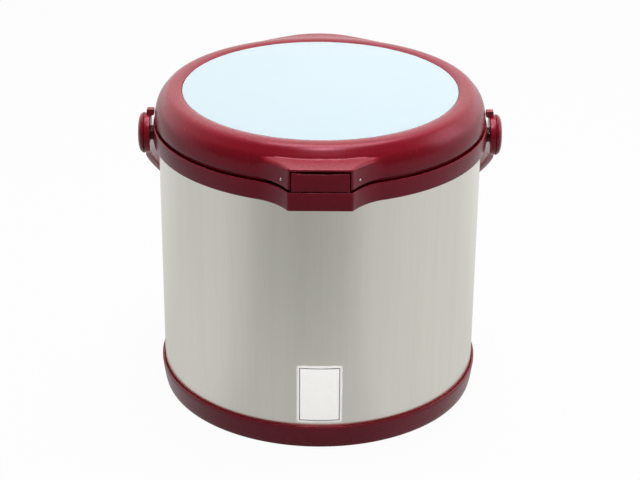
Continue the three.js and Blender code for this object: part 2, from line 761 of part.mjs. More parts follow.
function lidCover() {
  const ring = turned([
    ...shoulder,
    [discRadius + gap, discSeatZ],
    [discLedgeRadius, discSeatZ],
    ...coverCavity.slice().reverse(),
    [spigotInnerRadius, spigotBottomZ],
    [spigotOuterRadius, spigotBottomZ],
    [spigotOuterRadius, lidEdgeZ],
  ]);
  const bosses = lidScrewPlaces.map(([x, y]) => (
    post(lidBossRadius, x, y, lidFlangeZ + lidWall, lidBossTopZ)));
  const bossHoles = lidScrewPlaces.map(([x, y]) => (
    post(lidScrewRadius + gap, x, y, spigotBottomZ, lidFlangeZ + lidScrewLength)));
  const knuckleReach = hingeReach + knuckleRadius;
  const knuckleWeb = block(-lidKnuckleHalfWidth, lidKnuckleHalfWidth,
    hingeReach - knuckleRadius, knuckleReach, hingeZ, lidEdgeZ + overrun);
  const knuckle = crossBar(knuckleRadius, -lidKnuckleHalfWidth, lidKnuckleHalfWidth, hingeReach, hingeZ);
  const sideKnuckleSpaces = [-1, 1].map((side) => {
    const ends = [side * lidKnuckleHalfWidth, side * (lidKnuckleHalfWidth + collarKnuckleWidth + gap * 2)];
    return crossBar(knuckleRadius + gap, ...ends.sort((a, b) => a - b), hingeReach, hingeZ);
  });
  const pinHole = crossBar(hingePinRadius + gap, -collarRear.root, collarRear.root, hingeReach, hingeZ);
  const latchPocket = block(-latchPocketHalfWidth, latchPocketHalfWidth,
    -beakReach - overrun, -collarRadius, spigotBottomZ - overrun, latchCeilingZ);
  const latchPinHole = crossBar(latchPinRadius + gap, -collarRear.root, collarRear.root,
    latchPinY, latchPinZ);
  const inside = turned([
    [0, spigotBottomZ - overrun], [spigotInnerRadius, spigotBottomZ - overrun],
    ...coverCavity, [0, lidFoamTopZ]]);
  const hump = cut(lidHump(), ...sideKnuckleSpaces, inside);
  const beak = cut(lidBeak(), inside);
  const discSpace = post(discRadius + gap, 0, 0, discSeatZ, crownZ + overrun, ringSides);
  const shell = cut(join(ring, beak, hump, knuckleWeb, knuckle),
    discSpace, pinHole, latchPocket, latchPinHole);
  return cut(join(shell, ...bosses), ...bossHoles);
}

const lidScrewPlaces = around(fixingCount, Math.PI / 4, (angle) => [
  lidScrewCircle * Math.cos(angle), lidScrewCircle * Math.sin(angle)]);

function lidDisc() {
  return post(discRadius, 0, 0, discSeatZ + gap, discSeatZ + gap + discThickness, ringSides);
}

// The lid liner's lower face, from its flange in and up to the ceiling over the pot.
const lidLinerPath = [
  [spigotInnerRadius - gap, lidFlangeZ],
  [spigotInnerRadius - gap - lidLinerFlange - gasketWidth, lidFlangeZ],
  [lidCeilingRadius + lidSlopeWidth, lidFlangeZ + lidSlopeWidth / 2],
  [lidCeilingRadius, lidCeilingZ],
  [0, lidCeilingZ],
];

function lidLiner() {
  const holes = lidScrewPlaces.map(([x, y]) => (
    post(lidScrewRadius + gap, x, y, lidFlangeZ - overrun, lidFlangeZ + linerWall + overrun)));
  return cut(turned(sheet(lidLinerPath, linerWall)), ...holes);
}

function lidFoam() {
  const under = shifted(lidLinerPath, linerWall + gap);
  const roof = shifted(coverCavity, -gap);
  const profile = [
    ...under.slice(1).reverse(), [spigotInnerRadius - gap, under[0][1]],
    [spigotInnerRadius - gap, roof[0][1]], ...roof.slice(1, -1),
    [discLedgeRadius - gap, roof.at(-1)[1]],
    [discLedgeRadius - gap, discSeatZ], [0, discSeatZ],
  ];
  const bossSeats = lidScrewPlaces.map(([x, y]) => (
    post(lidBossRadius + gap, x, y, lidFlangeZ - overrun, lidBossTopZ + gap)));
  return cut(turned(profile), ...bossSeats);
}

function lidGasket() {
  const outer = spigotInnerRadius - gap - lidLinerFlange;
  return turned([
    [outer - gasketWidth, collarTopZ + gap * 2], [outer - gap * 2, collarTopZ + gap],
    [outer, collarTopZ + gap * 3], [outer, lidFlangeZ - gap], [outer - gasketWidth, lidFlangeZ - gap],
  ]);
}

function lidScrew([x, y]) {
  return join(
    post(lidScrewHeadRadius, x, y, lidFlangeZ - gap - lidScrewHeadHeight, lidFlangeZ - gap),
    post(lidScrewRadius, x, y, lidFlangeZ - gap - lidScrewHeadHeight, lidFlangeZ + lidScrewLength - gap));
}

// Latch

function latchLever() {
  const half = latchWidth / 2;
  const face = slabFromFront([
    [-half, latchBottomZ], [half, latchBottomZ], [half, latchTopZ],
    ...latchSagPoints(half), [-half, latchTopZ],
  ], -beakReach, latchBackY);
  const web = block(-half, half, latchBackY - gap, latchPinY, latchPinZ - latchWebHeight / 2,
    latchPinZ + latchWebHeight / 2);
  const barrel = crossBar(latchBarrelRadius, -half, half, latchPinY, latchPinZ);
  const hook = beam([
    [hookFrontY, noseBottomZ], [noseTipY, noseBottomZ + hookNoseHeight / 2], [noseTipY, noseTopZ],
    [hookBackY, noseTopZ], [hookBackY, latchPinZ], [hookFrontY, latchPinZ],
  ], -hookHalfWidth, hookHalfWidth);
  const bay = block(-springBayHalfWidth, springBayHalfWidth,
    latchBackY, latchPinY + latchBarrelRadius + overrun,
    latchPinZ - latchBarrelRadius - overrun, latchPinZ + latchBarrelRadius + overrun);
  const pinHole = crossBar(latchPinRadius + gap, -half - overrun, half + overrun, latchPinY, latchPinZ);
  return cut(join(face, web, barrel, hook), bay, pinHole);
}

// Extrudes a closed [x, z] outline from one y to another.
function slabFromFront(points, y0, y1) {
  const settings = { depth: y1 - y0, bevelEnabled: false };
  const geometry = new THREE.ExtrudeGeometry(outlineShape(points), settings).rotateX(Math.PI / 2);
  return solid(geometry.translate(0, y1, 0));
}

// The lever's top edge dips in the middle, where a finger presses it.
function latchSagPoints(half) {
  return Array.from({ length: latchSagSteps - 1 }, (_, i) => {
    const share = 1 - 2 * (i + 1) / latchSagSteps;
    return [half * share, latchTopZ - latchTopSag * (1 - share ** 2)];
  });
}

function latchPin() {
  return crossBar(latchPinRadius, -latchPinHalfLength, latchPinHalfLength, latchPinY, latchPinZ);
}

// A torsion spring round the latch pin: a leg forward to the lever's back, the coil, and a leg
// back to the wall of the beak's pocket.
const springFrontLeg = latchPinY - latchBackY - gap - springWireRadius;
const springBackLeg = -collarRadius - latchPinY - gap - springWireRadius;

class SpringPath extends THREE.Curve {
  getPoint(t) {
    const turn = THREE.MathUtils.clamp((t - springLegShare) / (1 - 2 * springLegShare), 0, 1);
    const angle = 2 * Math.PI * springTurns * turn;
    const toFront = springFrontLeg * Math.max(0, 1 - t / springLegShare);
    const toBack = springBackLeg * Math.max(0, 1 - (1 - t) / springLegShare);
    return new THREE.Vector3(
      (turn - 1 / 2) * springPitch * springTurns,
      latchPinY + springCoilRadius * Math.sin(angle) - toFront + toBack,
      latchPinZ + springCoilRadius * Math.cos(angle));
  }
}

function latchSpring() {
  const wire = new THREE.Shape().absarc(0, 0, springWireRadius, 0, 2 * Math.PI);
  const settings = {
    steps: springTurns * springStepsPerTurn, curveSegments: springCurveSegments, bevelEnabled: false,
    extrudePath: new SpringPath(),
  };
  return solid(new THREE.ExtrudeGeometry(wire, settings));
}

// Bail

// The angle below the horizontal at which the folded bail comes to rest against the shell.
const gripCornerReach = Math.hypot(bailInnerReach, gripWidth / 2);
const bailRestAngle = Math.acos((bodyRadius + gap * 2) / gripCornerReach)
  - Math.atan2(gripWidth / 2, bailInnerReach);

// The bail in its own frame: the pivot axis is X, the loop reaches out along +Y.
function bailLoop() {
  const halfWidth = bailInnerHalfWidth + bailThickness / 2;
  const reach = bailInnerReach + gripThickness / 2;
  const outlines = Array.from({ length: bailRings }, (_, i) => {
    const share = i / (bailRings - 1);
    const angle = Math.PI * share;
    const fromGrip = gripHalfAngleShare * 2 - Math.abs(share - 1 / 2);
    const towardsGrip = THREE.MathUtils.smoothstep(fromGrip, 0, gripHalfAngleShare);
    const thickness = THREE.MathUtils.lerp(bailThickness, gripThickness, towardsGrip);
    const width = THREE.MathUtils.lerp(bailWidth, gripWidth, towardsGrip);
    const centre = new THREE.Vector2(halfWidth * Math.cos(angle), reach * Math.sin(angle));
    const outward = new THREE.Vector2(Math.cos(angle) / halfWidth, Math.sin(angle) / reach).normalize();
    return bailSectionShares.map(([across, up]) => [
      centre.x + outward.x * across * thickness / 2, centre.y + outward.y * across * thickness / 2,
      up * width / 2]);
  });
  return tube(outlines);
}

// Skins a run of like rings and closes both ends with fans.
function tube(rings) {
  const count = rings[0].length;
  const faces = [];
  for (let ring = 0; ring + 1 < rings.length; ring += 1) {
    for (let i = 0; i < count; i += 1) {
      const [a, b] = [ring * count + i, ring * count + (i + 1) % count];
      faces.push(a, b, b + count, a, b + count, a + count);
    }
  }
  const last = (rings.length - 1) * count;
  for (let i = 1; i + 1 < count; i += 1) {
    faces.push(0, i + 1, i);
    faces.push(last, last + i, last + i + 1);
  }
  const geometry = new THREE.BufferGeometry();
  geometry.setAttribute('position', new THREE.Float32BufferAttribute(rings.flat(2), 3));
  geometry.setIndex(faces);
  return solid(geometry);
}

function bailHandle() {
  const eyes = [-1, 1].map((side) => onSide(side, crossBar(
    eyeRadius, bailInnerHalfWidth, eyeOuterHalfWidth, 0, 0, hubSides)));
  const lugs = [-1, 1].map((side) => {
    const ends = [side * lugInnerHalfWidth, side * eyeOuterHalfWidth].sort((a, b) => a - b);
    const lug = block(...ends, -lugWidth / 2, lugWidth / 2, lugReach - lugHeight, lugReach);
    const stem = block(...[side * bailInnerHalfWidth, side * eyeOuterHalfWidth].sort((a, b) => a - b),
      -lugWidth / 2, lugWidth / 2, 0, lugReach);
    return join(lug, stem).rotate([THREE.MathUtils.radToDeg(bailRestAngle), 0, 0]);
  });
  const holes = [-1, 1].map((side) => onSide(side, crossBar(
    pivotScrewRadius + gap, bailInnerHalfWidth - overrun, eyeOuterHalfWidth + overrun, 0, 0)));
  const inward = [-1, 1].map((side) => onSide(side, crossBar(
    eyeRadius, bailInnerHalfWidth - gripThickness, bailInnerHalfWidth, 0, 0, hubSides)));
  return cut(join(cut(bailLoop(), ...inward), ...eyes, ...lugs), ...holes);
}

// A domed cover over the pivot screw, hollow for the screw's head.
function hubCap(side) {
  const dome = Array.from({ length: capDomeSteps + 1 }, (_, i) => {
    const angle = Math.PI / 2 * i / capDomeSteps;
    return [capRadius * Math.sqrt(Math.sin(angle)), capHeight * Math.cos(angle)];
  });
  const profile = [...dome, [capCavityRadius, 0], [capCavityRadius, capCavityDepth], [0, capCavityDepth]];
  const cap = turned(profile, hubSides).rotate([0, 90, 0]).translate([eyeOuterHalfWidth + gap, 0, 0]);
  return onSide(side, cap);
}

// Inner pot

// The handles' plates sit on the middles of the pot's facets, where its wall is flat.
const potHandleHalfAngle = THREE.MathUtils.radToDeg(potHandleHalfFacets * Math.PI / potSides);
const potFlatRadius = potRadius * Math.cos(Math.PI / potSides);
const potFlatInnerRadius = potInnerRadius * Math.cos(Math.PI / potSides);

function potBody() {
  const inside = [
    [0, potFloorZ],
    ...roundedCorner(potInnerRadius - potCorner, potFloorZ + potCorner, potCorner, -Math.PI / 2, 0),
    [potInnerRadius, potRimZ - potRimRadius],
    [potInnerRadius + potRimRadius, potRimZ],
    [potInnerRadius + 2 * potRimRadius, potRimZ - potRimRadius / 2],
    [potInnerRadius + 2 * potRimRadius, potRimZ - 2 * potRimRadius],
  ];
  const rivetHoles = potEnds.map(({ side, end }) => radialBar(potRivetRadius + gap,
    potInnerRadius - overrun, potRadius + overrun, potEndAngle(side, end), potRivetZ));
  return cut(turned(sheet(inside, potWall), potSides), ...rivetHoles);
}

function potDisc() {
  return post(potDiscRadius, 0, 0, potDiscZ, potDiscZ + potDiscThickness, potSides);
}

const potEnds = [
  { side: 1, end: -1 }, { side: 1, end: 1 }, { side: -1, end: -1 }, { side: -1, end: 1 },
];

function potEndAngle(side, end) {
  return (side > 0 ? 0 : Math.PI) + end * THREE.MathUtils.degToRad(potHandleHalfAngle);
}

// A round bar that points out from the Z axis at an angle.
function radialBar(radius, r0, r1, angle, z) {
  return crossBar(radius, r0, r1, 0, z, smallSides).rotate([0, 0, THREE.MathUtils.radToDeg(angle)]);
}

// A rod bent into a flat loop, with a riveted plate at each end.
function potHandle(side) {
  const halfAngle = THREE.MathUtils.degToRad(potHandleHalfAngle);
  const at = (radius, angle) => new THREE.Vector3(radius * Math.cos(angle), radius * Math.sin(angle), 0);
  const plateFace = potFlatRadius + gap + potPlateThickness;
  const outer = potRadius + potHandleReach;
  const path = new THREE.CatmullRomCurve3([
    at(plateFace - potPlateThickness / 2, -halfAngle),
    at(plateFace + potHandleReach / 2, -halfAngle),
    ...potHandleBendShares.map((share) => at(outer, halfAngle * share)),
    at(plateFace + potHandleReach / 2, halfAngle),
    at(plateFace - potPlateThickness / 2, halfAngle),
  ], false, 'centripetal');
  const rodSection = new THREE.Shape().absarc(0, 0, potHandleRodRadius, 0, 2 * Math.PI);
  const settings = {
    steps: potHandleRodSteps, curveSegments: potHandleCurveSegments, bevelEnabled: false, extrudePath: path,
  };
  const rod = solid(new THREE.ExtrudeGeometry(rodSection, settings).translate(0, 0, potHandleZ));
  const plates = [-1, 1].map((end) => block(
    potFlatRadius + gap, plateFace, -potPlateWidth / 2, potPlateWidth / 2,
    potRivetZ - potPlateHeight / 4, potRivetZ - potPlateHeight / 4 + potPlateHeight)
    .rotate([0, 0, potHandleHalfAngle * end]));
  const holes = [-1, 1].map((end) => radialBar(
    potRivetRadius + gap, potRadius - overrun, plateFace + overrun, halfAngle * end, potRivetZ));
  return onSide(side, cut(join(rod, ...plates), ...holes));
}

function potRivet({ side, end }) {
  const angle = potEndAngle(side, end);
  const inner = potFlatInnerRadius - gap;
  const plateFace = potFlatRadius + 2 * gap + potPlateThickness;
  return join(
    radialBar(potRivetRadius, inner - potRivetHeadHeight, plateFace + potRivetHeadHeight, angle, potRivetZ),
    radialBar(potRivetHeadRadius, inner - potRivetHeadHeight, inner, angle, potRivetZ),
    radialBar(potRivetHeadRadius, plateFace, plateFace + potRivetHeadHeight, angle, potRivetZ));
}

// Pot lid

function potLid() {
  const skirtRadius = potInnerRadius - gap * 2;
  const dome = Array.from({ length: potLidDomeSteps + 1 }, (_, i) => {
    const share = i / potLidDomeSteps;
    return [(skirtRadius - potCorner) * share, potLidTopZ - potLidDome * share ** 2];
  });
  const top = [...dome, [skirtRadius - potWall, potLidZ + potWall], [potLidRadius, potLidZ + potWall]];
  const skirt = turned([
    [skirtRadius - potWall, potLidZ - potLidSkirt], [skirtRadius, potLidZ - potLidSkirt],
    [skirtRadius, potLidZ + potWall / 2], [skirtRadius - potWall, potLidZ + potWall / 2],
  ], potSides);
  const screwHole = post(knobScrewRadius + gap, 0, 0, potLidZ, potLidTopZ + overrun);
  const vent = post(potLidVentRadius, 0, potRadius - potLidVentInset, potLidZ, potLidTopZ + overrun);
  return cut(join(turned(sheet(top, potWall), potSides), skirt), screwHole, vent);
}

function potLidKnob() {
  const bottom = potLidTopZ + gap;
  const profile = knobShares.map(([across, up]) => [knobRadius * across, bottom + knobHeight * up]);
  const screwHole = post(knobScrewRadius + gap, 0, 0, bottom - overrun, bottom + knobScrewDepth + gap);
  return cut(turned(profile, hubSides), screwHole);
}

function knobScrew() {
  const underside = potLidTopZ - potWall - gap;
  return join(
    post(knobScrewHeadRadius, 0, 0, underside - knobScrewHeadHeight, underside),
    post(knobScrewRadius, 0, 0, underside - knobScrewHeadHeight, potLidTopZ + gap + knobScrewDepth));
}

// Assembly: one group for each body that moves

const cooker = new THREE.Group();
const vesselGroup = new THREE.Group();
const lidGroup = new THREE.Group();
const latchGroup = new THREE.Group();
const bailGroup = new THREE.Group();
const potGroup = new THREE.Group();
const potLidGroup = new THREE.Group();
cooker.add(vesselGroup, lidGroup, bailGroup, potGroup);
lidGroup.add(latchGroup);
potGroup.add(potLidGroup);
bailGroup.position.set(0, 0, pivotZ);
bailGroup.rotation.x = -bailRestAngle;

const sideNames = { '-1': 'left', 1: 'right' };
const quarterNames = ['rear_right', 'rear_left', 'front_left', 'front_right'];
const axisNames = ['right', 'rear', 'left', 'front'];

part(vesselGroup, 'base_ring', baseRing(), colours.maroonPlastic);
part(vesselGroup, 'base_plate', basePlate(), colours.darkPlastic);
footPlaces.forEach((place, i) => part(vesselGroup, `foot_${quarterNames[i]}`, foot(place), colours.rubber));
baseScrewPlaces.forEach((place, i) => (
  part(vesselGroup, `base_screw_${axisNames[i]}`, baseScrew(place), colours.polishedSteel)));
part(vesselGroup, 'outer_shell', outerShell(), colours.brushedSteel);
part(vesselGroup, 'vessel_foam', vesselFoam(), colours.foam);
part(vesselGroup, 'inner_liner', innerLiner(), colours.polishedSteel);
part(vesselGroup, 'collar', collar(), colours.maroonPlastic);
part(vesselGroup, 'catch_plate', catchPlate(), colours.polishedSteel);
part(vesselGroup, 'hinge_pin', hingePin(), colours.polishedSteel);
for (const side of [-1, 1]) {
  part(vesselGroup, `pivot_washer_${sideNames[side]}`, pivotWasher(side), colours.darkPlastic);
  part(vesselGroup, `pivot_screw_${sideNames[side]}`, pivotScrew(side), colours.polishedSteel);
}

part(lidGroup, 'lid_cover', lidCover(), colours.maroonPlastic);
part(lidGroup, 'lid_disc', lidDisc(), colours.discPlastic);
part(lidGroup, 'lid_foam', lidFoam(), colours.foam);
part(lidGroup, 'lid_liner', lidLiner(), colours.polishedSteel);
part(lidGroup, 'lid_gasket', lidGasket(), colours.silicone);
lidScrewPlaces.forEach((place, i) => (
  part(lidGroup, `lid_screw_${quarterNames[i]}`, lidScrew(place), colours.polishedSteel)));
part(lidGroup, 'latch_pin', latchPin(), colours.polishedSteel);
part(lidGroup, 'latch_spring', latchSpring(), colours.polishedSteel);
part(latchGroup, 'latch_lever', latchLever(), colours.maroonPlastic);

part(bailGroup, 'bail_handle', bailHandle(), colours.maroonPlastic);
for (const side of [-1, 1]) {
  part(bailGroup, `hub_cap_${sideNames[side]}`, hubCap(side), colours.maroonPlastic);
}

part(potGroup, 'pot_body', potBody(), colours.polishedSteel);
part(potGroup, 'pot_base_disc', potDisc(), colours.brushedSteel);
for (const side of [-1, 1]) {
  part(potGroup, `pot_handle_${sideNames[side]}`, potHandle(side), colours.polishedSteel);
}
const rivetNames = ['right_front', 'right_rear', 'left_rear', 'left_front'];
potEnds.forEach((place, i) => (
  part(potGroup, `pot_rivet_${rivetNames[i]}`, potRivet(place), colours.polishedSteel)));
part(potLidGroup, 'pot_lid', potLid(), colours.polishedSteel);
part(potLidGroup, 'pot_lid_knob', potLidKnob(), colours.bakelite);
part(potLidGroup, 'knob_screw', knobScrew(), colours.polishedSteel);

export default cooker;
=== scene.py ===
import json
import math

import bpy
import numpy as np
from bpy.props import FloatProperty, FloatVectorProperty, IntProperty, PointerProperty
from bpy.types import Operator, Panel, PropertyGroup
from mathutils import Matrix, Vector


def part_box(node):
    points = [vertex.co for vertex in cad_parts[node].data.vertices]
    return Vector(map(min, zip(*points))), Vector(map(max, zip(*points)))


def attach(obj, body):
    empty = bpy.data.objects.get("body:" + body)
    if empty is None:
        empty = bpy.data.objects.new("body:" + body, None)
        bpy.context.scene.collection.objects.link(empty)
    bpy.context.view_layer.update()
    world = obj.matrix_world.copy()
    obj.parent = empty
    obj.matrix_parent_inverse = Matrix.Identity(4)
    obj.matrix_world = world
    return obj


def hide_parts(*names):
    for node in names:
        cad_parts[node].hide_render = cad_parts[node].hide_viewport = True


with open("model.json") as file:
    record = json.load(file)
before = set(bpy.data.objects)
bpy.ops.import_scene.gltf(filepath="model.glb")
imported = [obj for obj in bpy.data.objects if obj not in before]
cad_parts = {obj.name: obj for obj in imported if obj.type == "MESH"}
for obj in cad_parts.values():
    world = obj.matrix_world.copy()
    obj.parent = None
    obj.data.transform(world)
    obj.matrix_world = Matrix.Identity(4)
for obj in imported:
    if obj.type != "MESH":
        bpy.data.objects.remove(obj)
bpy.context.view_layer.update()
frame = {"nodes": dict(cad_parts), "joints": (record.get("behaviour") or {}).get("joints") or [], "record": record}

bl_info = {
    "name": "Thermal cooker",
    "version": (1, 0, 0),
    "blender": (4, 5, 0),
    "location": "View3D > Sidebar > Cooker",
    "description": "Dresses the packed frame of a thermal cooker: surfaces, finishes and studio",
    "category": "Object",
}

# Places read from the frame

MM = 0.001


def joint_at(name):
    """The point that a joint turns about."""
    return Vector(next(j for j in frame["joints"] if j["name"] == name)["pos_m"])


(_, _, SHELL_BOTTOM), (DRUM_RADIUS, _, SHELL_TOP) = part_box("outer_shell")
(_, _, RING_BOTTOM), (RING_RADIUS, _, RING_TOP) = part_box("base_ring")
(_, BEAK_FRONT, _), (LID_RADIUS, _, CROWN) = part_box("lid_cover")
(_, _, DISC_BOTTOM), (DISC_RADIUS, _, DISC_TOP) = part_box("lid_disc")
(_, LEVER_FRONT, HOOK_BOTTOM), (LEVER_HALF_WIDTH, _, LEVER_TOP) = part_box("latch_lever")
(CAP_INNER, _, _), (CAP_OUTER, CAP_RADIUS, _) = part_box("hub_cap_right")
PLATE_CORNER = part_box("base_plate")[1]
BAIL_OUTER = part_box("bail_handle")[1].x
HINGE = joint_at("lid_hinge")
LATCH = joint_at("latch_press")
PIVOT = joint_at("bail_swing")

# Sizes that several pieces share

COLLAR_TOP = HINGE.z + 1.1 * MM
KNUCKLE_HALF = 18.6 * MM
BARREL_RADIUS = 5 * MM
BEAK_CORNER = 1.6 * MM
LINER_WALL = 0.6 * MM
SHEET_WALL = 0.8 * MM
FINE_SIDES = 96


def length_setting(name, description, millimetres):
    """A length that a user would change."""
    return FloatProperty(
        name=name, description=description, default=millimetres * MM, min=0, unit="LENGTH")


def colour_setting(name, description, *linear):
    """A colour that a user would change, as linear red, green and blue."""
    return FloatVectorProperty(
        name=name, description=description, default=linear, subtype="COLOR", min=0, max=1)


class CookerSizes(PropertyGroup):
    """Sizes that a user would change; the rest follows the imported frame."""

    turns: IntProperty(
        name="Sides of a turn", description="Sides of every turned surface", default=192, min=24)
    clearance: length_setting("Clearance", "Gap between neighbouring pieces", 0.3)
    collar_height: length_setting("Collar height", "Height of the collar's outer wall", 16)
    collar_radius: length_setting("Collar radius", "Outer radius of the collar ring", 144.5)
    seam_height: length_setting("Seam height", "Gap seen between the collar and the lid", 2.5)
    edge_round: length_setting("Moulded edge", "Radius of the plastic parts' edges", 0.9)
    shelf_round: length_setting("Shelf edge", "Radius of the beak's upper edge", 1.5)
    beak_half_width: length_setting("Beak half width", "Half the width of the beak's front", 26)
    beak_flare: length_setting("Beak flare", "Width of the concave flare at each side", 24)
    sticker_width: length_setting("Sticker width", "Width of the blank sticker", 38.8)
    sticker_height: length_setting("Sticker height", "Height of the blank sticker", 55)
    brush_length: FloatProperty(
        name="Brush marks", description="How much longer than wide the drum's brush marks are",
        default=70, min=1)


class CookerColours(PropertyGroup):
    """Colours of the finishes, as linear red, green and blue."""

    maroon: colour_setting(
        "Maroon plastic", "Lid, collar, base ring, latch and bail", 0.33, 0.0088, 0.021)
    dark_plastic: colour_setting(
        "Dark plastic", "Base plate and pivot washers", 0.020, 0.006, 0.007)
    disc: colour_setting("Lid disc", "Pale insert in the lid's top", 0.715, 0.86, 0.925)
    drum: colour_setting("Brushed steel", "Outer shell", 0.90, 0.885, 0.80)
    steel: colour_setting("Polished steel", "Well, pot, screws and pins", 0.72, 0.71, 0.69)
    foam: colour_setting("Foam", "Insulating foam", 0.80, 0.72, 0.46)
    rubber: colour_setting("Rubber", "Feet", 0.016, 0.016, 0.017)
    silicone: colour_setting("Silicone", "Lid gasket", 0.68, 0.66, 0.62)
    knob: colour_setting("Knob", "Plastic of the pot lid's knob", 0.011, 0.011, 0.012)
    sticker: colour_setting("Sticker", "Paper of the blank sticker", 0.92, 0.90, 0.875)
    sticker_line: colour_setting("Sticker line", "The sticker's border", 0.03, 0.03, 0.035)


# Material nodes as Python expressions


class Signal:
    """One output socket of a recipe's nodes. Sums, products and the like add Math nodes."""

    def __init__(self, recipe, socket):
        self.recipe = recipe
        self.socket = socket

    def math(self, operation, *others):
        """A Math node on this value and others."""
        values = dict(enumerate((self, *others)))
        return self.recipe.node("ShaderNodeMath", {"operation": operation}, values)

    def __add__(self, other):
        return self.math("ADD", other)

    __radd__ = __add__

    def __sub__(self, other):
        return self.math("SUBTRACT", other)

    def __rsub__(self, other):
        return (self * -1).math("ADD", other)

    def __mul__(self, other):
        return self.math("MULTIPLY", other)

    __rmul__ = __mul__

    def __truediv__(self, other):
        return self.math("DIVIDE", other)

    def clamped(self):
        """This value held between 0 and 1."""
        return self.math("MAXIMUM", 0.0).math("MINIMUM", 1.0)

    def other(self, key):
        """Another output of the same node."""
        return Signal(self.recipe, self.socket.node.outputs[key])


class Recipe:
    """A node tree that is filled node by node."""

    def __init__(self, tree):
        self.tree = tree
        tree.nodes.clear()

    def node(self, kind, settings=None, sockets=None, output=0):
        """Adds a node: first its own settings, then the values or links of its sockets."""
        made = self.tree.nodes.new(kind)
        for key, value in (settings or {}).items():
            if key == "stops":
                self.fill_ramp(made.color_ramp, value)
            else:
                setattr(made, key, value)
        for key, value in (sockets or {}).items():
            if isinstance(value, Signal):
                self.tree.links.new(value.socket, made.inputs[key])
            else:
                made.inputs[key].default_value = value
        return Signal(self, made.outputs[output])

    @staticmethod
    def fill_ramp(ramp, stops):
        """Gives a colour ramp its stops of (place, grey level)."""
        while len(ramp.elements) < len(stops):
            ramp.elements.new(1.0)
        for element, (place, level) in zip(ramp.elements, stops):
            element.position = place
            element.color = (level, level, level, 1)

    def mix_colours(self, factor, first, second):
        """A colour between two, by a factor."""
        return self.node(
            "ShaderNodeMix", {"data_type": "RGBA"}, {0: factor, 6: first, 7: second}, 2)

    def place(self, scale=(1, 1, 1)):
        """Object coordinates, stretched by a scale."""
        at = self.node("ShaderNodeTexCoord", output=3)
        return self.node("ShaderNodeMapping", sockets={"Vector": at, "Scale": scale})

    def noise(self, at, scale, detail=2.0, roughness=0.5):
        """Noise between 0 and 1."""
        return self.node("ShaderNodeTexNoise", sockets={
            "Vector": at, "Scale": scale, "Detail": detail, "Roughness": roughness})

    def bump(self, height, strength, distance):
        """A normal that follows a height."""
        return self.node("ShaderNodeBump", sockets={
            "Height": height, "Strength": strength, "Distance": distance})

    def axes(self, output):
        """The x, y and z of one output of the texture coordinates."""
        at = self.node("ShaderNodeTexCoord", output=output)
        x = self.node("ShaderNodeSeparateXYZ", sockets={0: at})
        return x, x.other(1), x.other(2)

    def rays(self):
        """1 for rays from the camera, and 1 for rays that come from gloss, metal or clear
        matter: the greater of both kinds."""
        camera = self.node("ShaderNodeLightPath")
        clear = camera.other("Is Transmission Ray")
        return camera, camera.other("Is Glossy Ray").math("MAXIMUM", clear)

    def mix_shaders(self, factor, first, second):
        """A shader between two, by a factor."""
        return self.node("ShaderNodeMixShader", sockets={0: factor, 1: first, 2: second})

    def surface(self, sockets):
        """The principled shader that ends a material."""
        self.end(self.node("ShaderNodeBsdfPrincipled", sockets=sockets))

    def end(self, shader, kind="ShaderNodeOutputMaterial"):
        """The output node that a shader ends in."""
        out = self.tree.nodes.new(kind)
        self.tree.links.new(shader.socket, out.inputs["Surface"])


def shade(colour, factor):
    """A colour made darker or lighter, with alpha 1."""
    return (*(min(1.0, c * factor) for c in colour), 1.0)


def new_recipe(name):
    """A material and the recipe of its nodes."""
    material = bpy.data.materials.new(name)
    material.use_nodes = True
    return material, Recipe(material.node_tree)


# Finishes


def moulded_plastic(recipe, colour, roughness, grain_depth, tint=(1, 1, 1, 1), gloss=0.5):
    """Satin plastic: soft mottling, a tinted and slightly uneven gloss, a fine moulded grain."""
    at = recipe.place()
    mottle = recipe.noise(at, 22, 3)
    grain = recipe.noise(at, 1500, 1)
    recipe.surface({
        "Base Color": recipe.mix_colours(mottle, shade(colour, 0.93), shade(colour, 1.07)),
        "Roughness": recipe.noise(at, 60, 2) * 0.08 + (roughness - 0.04),
        "Specular IOR Level": gloss,
        "Specular Tint": tint,
        "Normal": recipe.bump(grain, 0.25, grain_depth),
    })


def brushed_drum(recipe, colour, stretch):
    """Steel brushed up and down: streaks far longer than wide, in tone, gloss and height."""
    fine = recipe.noise(recipe.place((1, 1, 1 / stretch)), 1100, 2, 0.65)
    broad = recipe.noise(recipe.place((1, 1, 1 / stretch)), 120, 2)
    tone = (fine * 0.6 + broad * 0.4).clamped()
    recipe.surface({
        "Base Color": recipe.mix_colours(tone, shade(colour, 0.9), shade(colour, 1.08)),
        "Metallic": 1.0,
        "Roughness": fine * 0.12 + 0.25,
        "Normal": recipe.bump(fine, 0.22, 0.00006),
    })


def polished_steel(recipe, colour):
    """Bright steel with faint turning marks round the axis and a little haze."""
    marks = recipe.noise(recipe.place((0.05, 0.05, 1)), 900, 2)
    haze = recipe.noise(recipe.place(), 14, 3)
    recipe.surface({
        "Base Color": recipe.mix_colours(haze, shade(colour, 0.95), shade(colour, 1.04)),
        "Metallic": 1.0,
        "Roughness": haze * 0.1 + 0.13,
        "Normal": recipe.bump(marks, 0.08, 0.00005),
    })


def pale_disc(recipe, colour):
    """Smooth pale insert with a barely uneven gloss."""
    cloud = recipe.noise(recipe.place(), 9, 2)
    recipe.surface({
        "Base Color": recipe.mix_colours(cloud, shade(colour, 0.994), shade(colour, 1.0)),
        "Roughness": cloud * 0.03 + 0.27,
        "Specular IOR Level": 0.2,
    })


